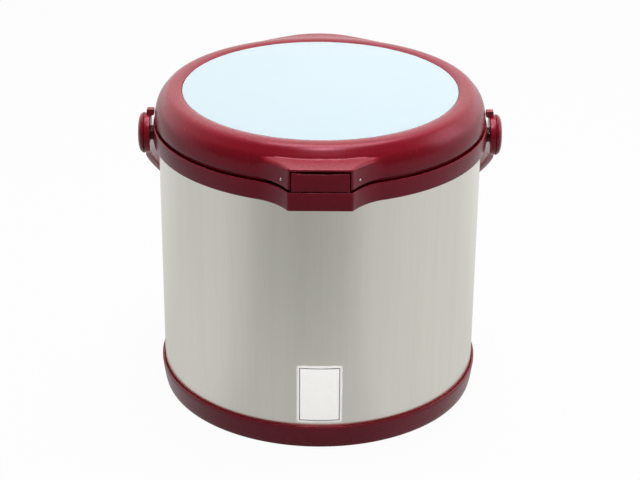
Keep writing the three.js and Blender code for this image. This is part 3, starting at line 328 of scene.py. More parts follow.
def soft_matt(recipe, colour, roughness, scale, depth):
    """Rubber, silicone, foam or paper: matt, with a pitted or fibrous height."""
    pits = recipe.noise(recipe.place(), scale, 3, 0.6)
    recipe.surface({
        "Base Color": recipe.mix_colours(pits, shade(colour, 0.88), shade(colour, 1.1)),
        "Roughness": pits * 0.1 + (roughness - 0.05),
        "Normal": recipe.bump(pits, 0.4, depth),
    })


FINISHES = {}


def make_finishes(colours, sizes):
    """Every finish of the cooker, by the name of its slot."""
    maroon_gloss = (1, 0.44, 0.60, 1)
    recipes = {
        "maroon_plastic": (moulded_plastic, colours.maroon, 0.27, 0.00004, maroon_gloss, 0.62),
        "dark_plastic": (moulded_plastic, colours.dark_plastic, 0.5, 0.00008),
        "disc_plastic": (pale_disc, colours.disc),
        "brushed_steel": (brushed_drum, colours.drum, sizes.brush_length),
        "polished_steel": (polished_steel, colours.steel),
        "insulating_foam": (soft_matt, colours.foam, 0.95, 260, 0.0006),
        "foot_rubber": (soft_matt, colours.rubber, 0.8, 700, 0.0001),
        "silicone": (soft_matt, colours.silicone, 0.45, 500, 0.00005),
        "knob_plastic": (moulded_plastic, colours.knob, 0.3, 0.00003),
        "sticker_paper": (soft_matt, colours.sticker, 0.5, 900, 0.00002),
        "sticker_line": (soft_matt, colours.sticker_line, 0.5, 900, 0.00002),
    }
    for name, (finish, *values) in recipes.items():
        FINISHES[name], recipe = new_recipe(name)
        finish(recipe, *values)


# Shells: points and faces of closed surfaces


def grid_quads(rows, columns, wrap_rows):
    """Quads between neighbours of a grid whose columns close on themselves."""
    row, column = np.meshgrid(
        np.arange(rows if wrap_rows else rows - 1), np.arange(columns), indexing="ij")
    below, beside = (row + 1) % rows, (column + 1) % columns
    corners = (row * columns + column, row * columns + beside,
               below * columns + beside, below * columns + column)
    return np.stack(corners, axis=-1).reshape(-1, 4)


def signed_volume(points, faces):
    """Six times the volume inside a closed shell, positive if its faces point outwards."""
    total = 0.0
    for size in {len(face) for face in faces}:
        corners = points[np.array([face for face in faces if len(face) == size])]
        for i in range(1, size - 1):
            fan = np.cross(corners[:, i], corners[:, i + 1])
            total += float(np.einsum("ij,ij->", corners[:, 0], fan))
    return total


def shell(points, faces):
    """Points and faces of a closed surface, turned so that its faces point outwards."""
    points = np.asarray(points, float)
    if signed_volume(points - points.mean(axis=0), faces) < 0:
        faces = [face[::-1] for face in faces]
    return points, faces


def lofted(loops, closed=False):
    """A skin over closed loops of points, one after the other. It closes on itself, or else
    its first and last loop are filled."""
    loops = np.asarray(loops, float)
    count, size = loops.shape[:2]
    faces = grid_quads(count, size, closed).tolist()
    if not closed:
        faces += [list(range(size))[::-1], list(range((count - 1) * size, count * size))]
    return shell(loops.reshape(-1, 3), faces)


def turned(profile, sides, first=-math.pi / 2):
    """A profile of (radius, height) turned about Z: x = r cos a, y = r sin a, z = height.
    A profile that starts and ends on the axis gets a pole at each end, any other is closed."""
    profile = np.asarray(profile, float)
    angles = first + np.linspace(0, 2 * math.pi, sides, endpoint=False)
    has_poles = profile[0, 0] == 0
    rings = profile[1:-1] if has_poles else profile
    radii, heights = rings[:, :1], np.repeat(rings[:, 1:], sides, axis=1)
    circles = np.stack([radii * np.cos(angles), radii * np.sin(angles), heights], axis=-1)
    if not has_poles:
        return lofted(circles, closed=True)
    faces = grid_quads(len(rings), sides, False).tolist()
    here, beside = np.arange(sides), (np.arange(sides) + 1) % sides
    bottom, top = len(rings) * sides, len(rings) * sides + 1
    last = (len(rings) - 1) * sides
    faces += np.stack([beside, here, np.full(sides, bottom)], axis=-1).tolist()
    faces += np.stack([here + last, beside + last, np.full(sides, top)], axis=-1).tolist()
    poles = [(0, 0, profile[0, 1]), (0, 0, profile[-1, 1])]
    return shell(np.vstack([circles.reshape(-1, 3), poles]), faces)


def moved(piece, matrix):
    """A shell carried to another place by a matrix."""
    points, faces = piece
    spread = np.hstack([points, np.ones((len(points), 1))])
    return shell((spread @ np.array(matrix).T)[:, :3], faces)


def along_x(profile, sides, axis):
    """A profile of (radius, x) turned about the line along X through a point."""
    matrix = Matrix.Translation((0, axis.y, axis.z)) @ Matrix.Rotation(math.pi / 2, 4, "Y")
    return moved(turned(profile, sides), matrix)


def rod(radius, start, end, soft):
    """The profile of a round rod with softened ends."""
    return softened([(0, start), (radius, start), (radius, end), (0, end)], soft)


def bar_x(radius, x0, x1, axis, sides=48, edge=0.4 * MM):
    """A round bar along X."""
    return along_x(rod(radius, x0, x1, edge), sides, axis)


def bars_each_side(radius, near, far, axis, **options):
    """A round bar along X on each side, between two distances from the middle."""
    return [bar_x(radius, *sorted((side * near, side * far)), axis, **options)
            for side in (-1, 1)]


def joined(*shells):
    """Several shells as one list of points and faces."""
    points, faces, start = [], [], 0
    for some_points, some_faces in shells:
        points.append(some_points)
        faces += [[start + i for i in face] for face in some_faces]
        start += len(some_points)
    return np.vstack(points), faces


def quadratic(start, control, end, t):
    """A quadratic curve: the squares of 1 - t and of t weigh its ends, twice t times 1 - t
    weighs its control point."""
    return (1 - t) ** 2 * start + 2 * t * (1 - t) * control + t ** 2 * end


def softened(corners, radius, steps=4, closed=False):
    """A path with its corners rounded: each becomes a quadratic curve that leaves the sides at
    a distance of the radius from the corner, or nearly half the side where that is shorter."""
    corners = np.asarray(corners, float)
    sides = [np.roll(corners, step, axis=0) - corners for step in (1, -1)]
    lengths = [np.maximum(np.linalg.norm(side, axis=1, keepdims=True), 1e-12) for side in sides]
    reach = np.minimum(np.minimum(*lengths) * 0.49, radius)
    start, end = (corners + side / length * reach for side, length in zip(sides, lengths))
    t = np.linspace(0, 1, steps + 1)[:, None, None]
    curves = quadratic(start, corners, end, t)
    curves = curves.transpose(1, 0, 2)
    if closed:
        return curves.reshape(-1, corners.shape[1])
    return np.vstack([corners[:1], curves[1:-1].reshape(-1, corners.shape[1]), corners[-1:]])


def smooth_path(points, steps=6):
    """A Catmull-Rom curve through points: each span is a cubic whose slope at a point is half
    the way from the point before to the point after."""
    points = np.asarray(points, float)
    padded = np.vstack([2 * points[0] - points[1], points, 2 * points[-1] - points[-2]])
    p0, p1, p2, p3 = padded[:-3], padded[1:-2], padded[2:-1], padded[3:]
    t = np.linspace(0, 1, steps, endpoint=False)[:, None, None]
    curve = 0.5 * (2 * p1 + (p2 - p0) * t + (2 * p0 - 5 * p1 + 4 * p2 - p3) * t ** 2
                   + (3 * p1 - p0 - 3 * p2 + p3) * t ** 3)
    return np.vstack([curve.transpose(1, 0, 2).reshape(-1, points.shape[1]), points[-1:]])


def inset(outline, distance):
    """A closed outline of (x, y) points moved inwards, square to itself, by a distance."""
    outline = np.asarray(outline, float)
    along = np.roll(outline, -1, axis=0) - np.roll(outline, 1, axis=0)
    along /= np.maximum(np.linalg.norm(along, axis=1, keepdims=True), 1e-12)
    return outline + np.stack([-along[:, 1], along[:, 0]], axis=-1) * distance


def raised(outline, height):
    """An outline of (x, y) points at a height, which may differ from point to point."""
    heights = np.broadcast_to(np.asarray(height, float), (len(outline),))
    return np.column_stack([outline, heights])


def upright(outline, depth):
    """An outline of (x, z) points at a depth y."""
    return raised(outline, depth)[:, [0, 2, 1]]


def around_axis(direction, radius, height):
    """Points at radii and heights, in directions from the axis."""
    return raised(direction * np.reshape(radius, (-1, 1)), height)


def directions(outline):
    """The directions from the axis of an outline's points, each one long."""
    return outline / np.linalg.norm(outline, axis=1, keepdims=True)


def block(x0, x1, y0, y1, z0, z1):
    """A plain box."""
    corners = [(x0, y0), (x1, y0), (x1, y1), (x0, y1)]
    return lofted([raised(corners, z0), raised(corners, z1)])


def steps_to_one(count):
    """Even steps that end at 1 and leave out 0."""
    return np.linspace(0, 1, count + 1)[1:]


def quarter_round(radius, steps=4):
    """A quarter circle as pairs of distances from the corner that it rounds: the radius times
    one less the angle's sine, and the radius times one less its cosine."""
    angles = np.linspace(0, math.pi / 2, steps + 1)
    return [(radius * (1 - math.sin(a)), radius * (1 - math.cos(a))) for a in angles]


# Pieces: shells put into the scene

CREASE = math.radians(35)


def new_mesh(name, piece, material):
    """A mesh of a shell's points and faces, in one material."""
    points, faces = piece
    mesh = bpy.data.meshes.new(name)
    mesh.from_pydata(points.tolist(), [], faces)
    mesh.materials.append(material)
    return mesh


def put(name, data):
    """A new object in the scene."""
    made = bpy.data.objects.new(name, data)
    bpy.context.scene.collection.objects.link(made)
    return made


def smooth(mesh):
    """Smooth shading, with sharp creases where faces meet at more than 35 degrees."""
    mesh.shade_smooth()
    mesh.set_sharp_from_angle(angle=CREASE)


def add_piece(name, piece, finish, body, *stands_for):
    """A mesh of the shell with its finish, riding on a body in place of CAD nodes."""
    mesh = new_mesh(name, piece, FINISHES[finish])
    mesh.validate()
    smooth(mesh)
    made = put(name, mesh)
    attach(made, body)
    if stands_for:
        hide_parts(*stands_for)
    return made


def carve(made, *cutters):
    """Cuts shells out of a piece, for good."""
    tools = []
    for number, cutter in enumerate(cutters):
        mesh = new_mesh(f"cutter_{number}", cutter, made.data.materials[0])
        tools.append(put(mesh.name, mesh))
        cut = made.modifiers.new(mesh.name, "BOOLEAN")
        cut.operation, cut.solver, cut.object = "DIFFERENCE", "EXACT", tools[-1]
    evaluated = made.evaluated_get(bpy.context.evaluated_depsgraph_get())
    carved = bpy.data.meshes.new_from_object(evaluated)
    made.modifiers.clear()
    made.data = carved
    smooth(carved)
    for tool in tools:
        bpy.data.objects.remove(tool)


# Outlines shared by the collar and the lid

ARC_SAMPLES = 76
FLARE_SAMPLES = 20
CORNER_SAMPLES = 6
FACE_SAMPLES = 9


def flared_half(half_width, root, reach, control, ring_radius, corner_round):
    """The right half of a flared front from above, for a reach above zero: a quadratic curve
    from its root on a ring towards the corner, a rounded corner, and a straight face to the
    middle."""
    start = np.array([root, math.sqrt(ring_radius ** 2 - root ** 2)])
    middle, corner = np.array(control, float), np.array([half_width, reach])
    cut = corner_round / (2 * np.linalg.norm(corner - middle))
    flare = quadratic(start, middle, corner, np.linspace(0, 1 - cut, FLARE_SAMPLES)[:, None])
    turn = quadratic(
        flare[-1], corner, corner - (corner_round, 0), steps_to_one(CORNER_SAMPLES)[:, None])
    face = np.linspace(half_width - corner_round, 0, FACE_SAMPLES)[1:]
    return np.vstack([flare, turn, np.column_stack([face, np.full(len(face), reach)])])


def flare_control(half_width, flare, reach, ring_radius, shares):
    """Control point of a flare: shares of its width and of its reach beyond its root."""
    root_reach = math.sqrt(ring_radius ** 2 - (half_width + flare) ** 2)
    return (half_width + flare * shares[0], root_reach + (reach - root_reach) * shares[1])


def mirrored(half, signs=1):
    """Columns of the right half, from the front's middle to the rear's, and the same again in
    reverse for the left half, times signs."""
    return np.concatenate([half, half[-2:0:-1] * signs])


def closed_outline(front, arc_radius, rear):
    """A whole outline from above, anticlockwise from the front's middle: the flared front, an
    arc whose radius may change along it, the flared rear, and the left half by mirroring."""
    front = front[::-1] * (1, -1)
    first = math.atan2(front[-1, 1], front[-1, 0])
    last = math.atan2(rear[0, 1], rear[0, 0])
    angles = np.linspace(first, last, ARC_SAMPLES + 2)[1:-1]
    arc = np.column_stack([np.cos(angles), np.sin(angles)]) * np.reshape(arc_radius, (-1, 1))
    return mirrored(np.vstack([front, arc, rear]), (-1, 1))


def beak_control(sizes):
    """Control point of the beak's flares, the same at every height."""
    return flare_control(
        sizes.beak_half_width, sizes.beak_flare, -BEAK_FRONT, sizes.collar_radius, (0.396, 0.278))


def collar_outline(sizes):
    """The collar from above: beak in front, hinge block behind."""
    radius, half = sizes.collar_radius, sizes.beak_half_width
    front = flared_half(
        half, half + sizes.beak_flare, -BEAK_FRONT, beak_control(sizes), radius, BEAK_CORNER)
    half, flare, corner = 32 * MM, 28 * MM, 2 * MM
    control = flare_control(half, flare, HINGE.y, radius, (0.286, 0.554))
    rear = flared_half(half, half + flare, HINGE.y, control, radius, corner)
    return closed_outline(front, radius, rear)


class CookerOperator:
    """What the operators share."""

    bl_options = {"REGISTER", "UNDO"}


class COOKER_OT_base_ring(CookerOperator, Operator):
    """The plastic ring round the drum's foot: a belly below, a lip above that falls inwards"""

    bl_idname = "cooker.base_ring"
    bl_label = "Base ring"

    def execute(self, context):
        sizes = context.scene.cooker_sizes
        gap, height = sizes.clearance, RING_TOP - RING_BOTTOM
        foot, foot_round = RING_RADIUS - 2.9 * MM, 1.2 * MM
        belly = [(foot + 1.05 * MM, 0.25), (RING_RADIUS - 1.0 * MM, 0.5),
                 (RING_RADIUS - 0.35 * MM, 0.7), (RING_RADIUS, 0.81)]
        outside = smooth_path([
            (foot - foot_round, RING_BOTTOM), (foot, RING_BOTTOM + foot_round),
            *((radius, RING_BOTTOM + height * share) for radius, share in belly)])
        inner, bore, plate = DRUM_RADIUS + gap, 118 * MM, PLATE_CORNER
        crest, crest_width, fall = RING_TOP - 1.2 * MM, 0.7 * MM, 1.4 * MM
        rim = softened([
            (RING_RADIUS, RING_BOTTOM + height * 0.82), (RING_RADIUS, crest),
            (RING_RADIUS - crest_width, crest), (inner, crest - fall), (inner, SHELL_BOTTOM - gap),
        ], 0.5 * MM)
        under = [(bore, SHELL_BOTTOM - gap), (bore, plate.z + gap),
                 (plate.x + gap, plate.z + gap), (plate.x + gap, RING_BOTTOM)]
        ring = turned(np.vstack([outside, rim, under]), sizes.turns)
        add_piece("base_ring_surface", ring, "maroon_plastic", "vessel", "base_ring")
        return {"FINISHED"}


class COOKER_OT_drum(CookerOperator, Operator):
    """The brushed steel drum between the base ring and the collar"""

    bl_idname = "cooker.drum"
    bl_label = "Steel drum"

    def execute(self, context):
        hole = DRUM_RADIUS - 6 * MM
        inner, floor = DRUM_RADIUS - SHEET_WALL, SHELL_BOTTOM + SHEET_WALL
        profile = [(hole, SHELL_BOTTOM), (DRUM_RADIUS, SHELL_BOTTOM), (DRUM_RADIUS, SHELL_TOP),
                   (inner, SHELL_TOP), (inner, floor), (hole, floor)]
        drum = turned(profile, context.scene.cooker_sizes.turns)
        add_piece("drum_surface", drum, "brushed_steel", "vessel", "outer_shell")
        return {"FINISHED"}


class COOKER_OT_sticker(CookerOperator, Operator):
    """The blank sticker low on the drum's front, with a plain printed border"""

    bl_idname = "cooker.sticker"
    bl_label = "Blank sticker"

    columns = 41

    def wrapped(self, x0, x1, z0, z1, radius, thickness, corner=0.0):
        """A thin plate bent round the drum: x and z as on a flat sheet, x taken along the arc.
        Its corners are quarter circles: the plate's height falls by the corner's radius less
        the root of that radius squared less the way into the corner squared."""
        turn = np.linspace(0, math.pi, self.columns)
        across = x0 + (x1 - x0) * (1 - np.cos(turn)) / 2
        way = np.clip(corner - np.minimum(across - x0, x1 - across), 0, corner)
        fall = corner - np.sqrt(corner ** 2 - way ** 2)
        x, z = np.vstack([across, across]), np.vstack([z0 + fall, z1 - fall])
        angle = x / radius - math.pi / 2
        near = np.stack([radius * np.cos(angle), radius * np.sin(angle), z], axis=-1)
        far = near * (1 + thickness / radius, 1 + thickness / radius, 1)
        return lofted(np.stack([near[0], far[0], far[1], near[1]], axis=1))

    def execute(self, context):
        sizes = context.scene.cooker_sizes
        half, middle, bottom = sizes.sticker_width / 2, 0.8 * MM, 25.6 * MM
        x0, x1, z0, z1 = middle - half, middle + half, bottom, bottom + sizes.sticker_height
        radius, corner = DRUM_RADIUS + 0.02 * MM, 2 * MM
        paper_thickness, ink_lift, ink_thickness = 0.12 * MM, 0.13 * MM, 0.03 * MM
        paper = self.wrapped(x0, x1, z0, z1, radius, paper_thickness, corner)
        add_piece("front_sticker", paper, "sticker_paper", "vessel")
        margin, line = 2.1 * MM, 0.7 * MM
        x0, x1, z0, z1 = x0 + margin, x1 - margin, z0 + margin, z1 - margin
        strips = [(x0, x1, z0, z0 + line), (x0, x1, z1 - line, z1),
                  (x0, x0 + line, z0 + line, z1 - line), (x1 - line, x1, z0 + line, z1 - line)]
        border = [self.wrapped(*strip, radius + ink_lift, ink_thickness) for strip in strips]
        add_piece("sticker_border", joined(*border), "sticker_line", "vessel")
        return {"FINISHED"}


class COOKER_OT_collar(CookerOperator, Operator):
    """The collar with its beak, hinge block, knuckles and pivot pads"""

    bl_idname = "cooker.collar"
    bl_label = "Collar"

    def execute(self, context):
        sizes = context.scene.cooker_sizes
        edge, top, outline = sizes.edge_round, COLLAR_TOP, collar_outline(sizes)
        bottom, web_bottom = top - sizes.collar_height, top - 5.2 * MM
        skirt, lip = DRUM_RADIUS + sizes.clearance, 124 * MM
        crest, groove = 0.45 * MM, top - 1.2 * MM
        way = directions(outline)
        loops = [raised(way * skirt, bottom)]
        loops += [raised(inset(outline, inward), bottom + rise)
                  for inward, rise in quarter_round(edge)]
        loops += [raised(inset(outline, inward), top - drop)
                  for drop, inward in quarter_round(crest)]
        loops.append(raised(inset(outline, crest + 2.2 * MM), groove))
        inside = [(139 * MM, groove), (138 * MM, top), (lip + edge, top), (lip, top - edge),
                  (lip, web_bottom), (skirt, web_bottom)]
        loops += [raised(way * radius, height) for radius, height in inside]
        made = add_piece("collar_surface", lofted(loops, closed=True), "maroon_plastic", "vessel",
                         "collar")
        pocket_half, play = 15.5 * MM, 0.3 * MM
        hook_pocket = block(-pocket_half, pocket_half, BEAK_FRONT + 1.8 * MM,
                            BEAK_FRONT + 11.8 * MM, bottom + 3.4 * MM, top + 3 * MM)
        relief = bar_x(BARREL_RADIUS + play, -KNUCKLE_HALF - play, KNUCKLE_HALF + play, HINGE,
                       edge=0)
        carve(made, hook_pocket, relief)
        ears = bars_each_side(BARREL_RADIUS, KNUCKLE_HALF + play, KNUCKLE_HALF + 12.3 * MM, HINGE)
        pads = bars_each_side(8.6 * MM, 140.6 * MM, 145 * MM, PIVOT)
        add_piece("collar_knuckles", joined(*ears, *pads), "maroon_plastic", "vessel")
        return {"FINISHED"}


# The lid's shoulder, from its lower edge to the disc: shares of the band's width and height
SHOULDER = smooth_path([
    (0.985, 0), (1, 0.13), (0.975, 0.31), (0.931, 0.48), (0.845, 0.66), (0.728, 0.8),
    (0.59, 0.93), (0.44, 0.99), (0.2, 1), (0.02, 0.97),
]).clip(0, 1)

# The hump's levels: shares of the lid's height, of its rounding at the back and its narrowing
HUMP_LEVELS = smooth_path([
    (0, 0, 0), (0.45, 0, 0), (0.62, 0.12, 0.06), (0.76, 0.36, 0.18), (0.87, 0.68, 0.34),
    (0.94, 1, 0.5),
]).clip(0, 1)


def read_along(table, place):
    """A table's columns at places from 0, its first row, to 1, its last."""
    own = np.linspace(0, 1, len(table))
    return [np.interp(place, own, column) for column in table.T]


class COOKER_OT_lid_cover(CookerOperator, Operator):
    """The lid's cover: a turned shoulder that reaches out into a beak in front and a hump
    behind, a ledge for the disc, a spigot below, and a pocket for the latch"""

    bl_idname = "cooker.lid_cover"
    bl_label = "Lid cover"

    beak_lean = 0.8 * MM
    beak_root_y = -128.5 * MM
    root_softness = 3.6
    hump_half, hump_flare, hump_reach = 20 * MM, 40 * MM, HINGE.y + 5 * MM
    hump_rounding, hump_corner = 13 * MM, 12.5 * MM
    wall_rows, round_rows, shelf_rows, crease_rows, shoulder_rows = 12, 7, 6, 6, 24

    def shoulder_at(self, place):
        """The shoulder's (radius, height) at places from 0, its lower edge, to 1, the disc."""
        across, up = read_along(SHOULDER, place)
        return (DISC_RADIUS + (LID_RADIUS - DISC_RADIUS) * across, self.edge + self.height * up)

    def place_at(self, z):
        """The place on the shoulder at a height, on its rising stretch."""
        rising = int(np.argmax(SHOULDER[:, 1])) + 1
        own = np.linspace(0, 1, len(SHOULDER))[:rising]
        return np.interp((z - self.edge) / self.height, SHOULDER[:rising, 1], own)

    def radius_at(self, z):
        """The shoulder's radius at a height."""
        return self.shoulder_at(self.place_at(z))[0]

    def shelf_at(self, y):
        """Height of the beak's shelf, which falls by 0.4 in 19 towards its front."""
        return LEVER_TOP + 3.6 * MM + (y - BEAK_FRONT) * 0.4 / 19

    def softness(self, sizes, x):
        """How many times wider the shelf's rounded edge is along the flares than in front: it
        grows from the corner to the root, with the share of the way to the power 0.6."""
        share = np.clip((np.abs(x) - sizes.beak_half_width) / sizes.beak_flare, 0, 1)
        return 1 + (self.root_softness - 1) * share ** 0.6

    def pushed_out(self, points):
        """Points moved square to the axis wherever they would lie inside the shoulder."""
        radius = np.linalg.norm(points[:, :2], axis=1)
        factor = np.maximum(radius, self.radius_at(points[:, 2])) / radius
        return points * np.column_stack([factor, factor, np.ones(len(points))])

    def level(self, sizes, share, drop, draft, hump):
        """A loop round the lid. Its height above the lower edge is a share of the beak's
        height less a drop in front, a share of the lid's height behind, and goes evenly from
        one to the other between them."""
        up, back, narrow = hump
        foot = self.edge + sizes.edge_round
        root_z = foot + share * (
            self.shelf_at(self.beak_root_y) - drop * self.root_softness - foot)
        rear_z = max(self.edge + self.height * up, foot)
        half, root = sizes.beak_half_width, sizes.beak_half_width + sizes.beak_flare
        front = flared_half(half - draft, root, -BEAK_FRONT, beak_control(sizes),
                            float(self.radius_at(root_z)), BEAK_CORNER)
        reach, rounding = self.hump_reach, self.hump_rounding
        control = flare_control(
            self.hump_half, self.hump_flare, reach, sizes.collar_radius, (0.4, 0.614))
        rear = flared_half(self.hump_half - rounding * narrow, self.hump_half + self.hump_flare,
                           reach - rounding * back, (control[0], control[1] - rounding * back),
                           float(self.radius_at(rear_z)), self.hump_corner)
        arc_z = root_z + (rear_z - root_z) * np.linspace(0, 1, ARC_SAMPLES + 2)[1:-1]
        outline = closed_outline(front, self.radius_at(arc_z), rear)
        softness = self.softness(sizes, front[::-1, 0])
        front_z = foot + share * (self.shelf_at(-front[::-1, 1]) - drop * softness - foot)
        heights = mirrored(np.concatenate([front_z, arc_z, np.full(len(rear), rear_z)]))
        return raised(outline, heights)

    def outside(self, sizes):
        """The loops from the lower edge up to the rims of the shelf and of the hump's top."""
        soft, count = sizes.shelf_round, self.wall_rows + self.round_rows
        humps = np.column_stack(read_along(HUMP_LEVELS, np.linspace(0, 1, count)))
        foot = self.level(sizes, 0, 0, 0, humps[0])
        loops = [raised(inset(foot[:, :2], inward), self.edge + rise)
                 for inward, rise in quarter_round(sizes.edge_round)[:-1]]
        for row in range(self.wall_rows):
            share = row / (self.wall_rows - 1)
            level = self.level(sizes, share, soft, self.beak_lean * share, humps[row])
            loops.append(self.pushed_out(level))
        for row, (drop, inward) in enumerate(quarter_round(soft, self.round_rows)[1:]):
            level = self.level(sizes, 1, drop, self.beak_lean, humps[self.wall_rows + row])
            proud = np.linalg.norm(level[:, :2], axis=1) - self.radius_at(level[:, 2])
            fade = np.clip(proud / (2 * soft), 0, 1) * (level[:, 1] < 0)
            inward = inward * fade * self.softness(sizes, level[:, 0])
            moved_in = inset(level[:, :2], inward[:, None])
            loops.append(self.pushed_out(raised(moved_in, level[:, 2])))
        return loops

    def inwards(self, last):
        """The loops over the shelf and the hump's top, through a soft crease, and up the
        shoulder. The crease is a quadratic curve round the line where both would meet."""
        way = directions(last[:, :2])
        in_front = np.clip(-way[:, 1] * 4, 0, 1)
        least, meet = last[:, 2] + 0.5 * MM, last[:, 2] + 0.8 * MM
        for _ in range(4):
            shelf = self.shelf_at(way[:, 1] * self.radius_at(meet))
            meet = np.where(way[:, 1] < -0.8, np.maximum(shelf, least), least)
        corner = around_axis(way, self.radius_at(meet), meet)
        length = np.linalg.norm(last - corner, axis=1, keepdims=True)
        reach = (1.4 + 8.8 * (1 - in_front[:, None])) * MM
        start = corner + (last - corner) * np.minimum(0.5, reach / length)
        rise = 1.8 * MM - 1.0 * MM * in_front
        place = self.place_at(meet + rise)
        end = around_axis(way, *self.shoulder_at(place))
        loops = [last + (start - last) * t for t in steps_to_one(self.shelf_rows)]
        loops += [quadratic(start, corner, end, t) for t in steps_to_one(self.crease_rows)]
        loops = [self.pushed_out(loop) for loop in loops]
        loops += [around_axis(way, *self.shoulder_at(place + (1 - place) * t))
                  for t in steps_to_one(self.shoulder_rows)]
        return loops, way

    def inside(self, sizes, way, top):
        """The loops from the disc's seat over the lid's ceiling and the spigot to the edge."""
        edge, seat, wall = self.edge, DISC_BOTTOM - sizes.clearance, 2.8 * MM
        ledge, web = DISC_RADIUS - 7 * MM, edge + 3.7 * MM
        outer, inner, bottom = 141.5 * MM, 137.5 * MM, edge - 2.1 * MM
        profile = softened([
            (DISC_RADIUS + 0.4 * MM, top - 0.1 * MM), (DISC_RADIUS + 0.25 * MM, seat),
            (ledge, seat), (ledge, seat - wall), (133.5 * MM, seat - wall),
            (138.7 * MM, edge + 13.4 * MM), (140.4 * MM, web), (inner, web),
            (inner, bottom), (outer, bottom), (outer, edge),
        ], 0.4 * MM, steps=2)
        return [around_axis(way, radius, height) for radius, height in profile]

    def execute(self, context):
        sizes = context.scene.cooker_sizes
        self.edge = edge = COLLAR_TOP + sizes.seam_height
        self.height = CROWN - edge
        loops = self.outside(sizes)
        further, way = self.inwards(loops[-1])
        loops += further + self.inside(sizes, way, further[-1][0, 2])
        made = add_piece("lid_cover_surface", lofted(loops, closed=True), "maroon_plastic", "lid",
                         "lid_cover")
        slot = LEVER_HALF_WIDTH + 0.9 * MM
        pocket = block(-slot, slot, BEAK_FRONT - 3 * MM, -sizes.collar_radius, edge - 3 * MM,
                       LEVER_TOP + 1.6 * MM)
        pin_hole = bar_x(1.5 * MM, -46 * MM, 46 * MM, LATCH, edge=0)
        ear_spaces = bars_each_side(
            BARREL_RADIUS + 0.4 * MM, KNUCKLE_HALF, KNUCKLE_HALF + 12.9 * MM, HINGE, edge=0)
        carve(made, pocket, pin_hole, *ear_spaces)
        bar = bar_x(BARREL_RADIUS, -KNUCKLE_HALF, KNUCKLE_HALF, HINGE)
        half, depth = KNUCKLE_HALF - 0.1 * MM, 4.9 * MM
        web = block(-half, half, HINGE.y - depth, HINGE.y + depth, HINGE.z, edge + 1 * MM)
        add_piece("lid_knuckle", joined(bar, web), "maroon_plastic", "lid")
        sleeves = bars_each_side(
            2 * MM, slot - 0.8 * MM, slot + 0.4 * MM, LATCH, edge=0.1 * MM)
        add_piece("latch_pin_sleeves", joined(*sleeves), "maroon_plastic", "lid")
        pin = bar_x(1.2 * MM, -32.3 * MM, 32.3 * MM, LATCH, edge=0.9 * MM)
        add_piece("latch_pin_surface", pin, "polished_steel", "lid", "latch_pin")
        return {"FINISHED"}


class COOKER_OT_lid_disc(CookerOperator, Operator):
    """The pale insert in the lid's top, with a softened rim"""

    bl_idname = "cooker.lid_disc"
    bl_label = "Lid disc"

    def execute(self, context):
        profile = rod(DISC_RADIUS, DISC_BOTTOM, DISC_TOP, 0.6 * MM)
        disc = turned(profile, context.scene.cooker_sizes.turns)
        add_piece("disc_surface", disc, "disc_plastic", "lid", "lid_disc")
        return {"FINISHED"}


class COOKER_OT_lid_underside(CookerOperator, Operator):
    """The lid's steel liner and its gasket"""

    bl_idname = "cooker.lid_underside"
    bl_label = "Lid liner and gasket"

    def execute(self, context):
        sizes = context.scene.cooker_sizes
        low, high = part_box("lid_liner")
        rim, flange, ceiling = high.x, low.z, high.z - LINER_WALL
        path = softened([
            (0, ceiling), (117 * MM, ceiling), (121 * MM, flange + 2 * MM),
            (rim - 14 * MM, flange), (rim, flange)], 2 * MM)
        liner = turned(np.vstack([path, path[::-1] + (0, LINER_WALL)]), sizes.turns)
        add_piece("lid_liner_surface", liner, "polished_steel", "lid", "lid_liner")
        low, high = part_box("lid_gasket")
        outer, inner = high.x, high.x - 5.5 * MM
        seal = softened([
            (inner, low.z + 0.3 * MM), ((inner + outer) / 2, low.z), (outer, low.z + 0.6 * MM),
            (outer, high.z), (inner, high.z)], 0.5 * MM, closed=True)
        add_piece("gasket_surface", turned(seal, sizes.turns), "silicone", "lid", "lid_gasket")
        return {"FINISHED"}


class COOKER_OT_latch(CookerOperator, Operator):
    """The latch lever: a softened face with a dipped top edge, its barrel, web and hook"""

    bl_idname = "cooker.latch"
    bl_label = "Latch lever"

    def execute(self, context):
        half, front, bottom = LEVER_HALF_WIDTH, LEVER_FRONT, HINGE.z + 1.9 * MM
        sag, soft, thickness = 0.9 * MM, 0.7 * MM, 2.8 * MM
        x = np.linspace(1, -1, 25)
        upper = np.column_stack([half * x, LEVER_TOP - sag * (1 - x ** 2)])
        corners = np.vstack([[(-half, bottom), (half, bottom)], upper])
        loops = [upright(inset(corners, inward), front + depth)
                 for inward, depth in quarter_round(soft)]
        face = lofted([*loops, upright(corners, front + thickness)])
        barrel = bar_x(3.2 * MM, -half, half, LATCH)
        web = block(-half, half, front + 2.5 * MM, LATCH.y, LATCH.z - 2 * MM, LATCH.z + 2 * MM)
        hook_front, hook_back, hook_half = front + 4.2 * MM, front + 6.6 * MM, 11.5 * MM
        nose, nose_top = hook_back + 1.8 * MM, HOOK_BOTTOM + 2 * MM
        side_view = [
            (hook_front, HOOK_BOTTOM), (nose, HOOK_BOTTOM + 1 * MM), (nose, nose_top),
            (hook_back, nose_top), (hook_back, LATCH.z), (hook_front, LATCH.z)]
        hook = lofted([raised(side_view, x)[:, [2, 0, 1]] for x in (-hook_half, hook_half)])
        piece = joined(face, barrel, web, hook)
        add_piece("latch_surface", piece, "maroon_plastic", "latch", "latch_lever")
        return {"FINISHED"}


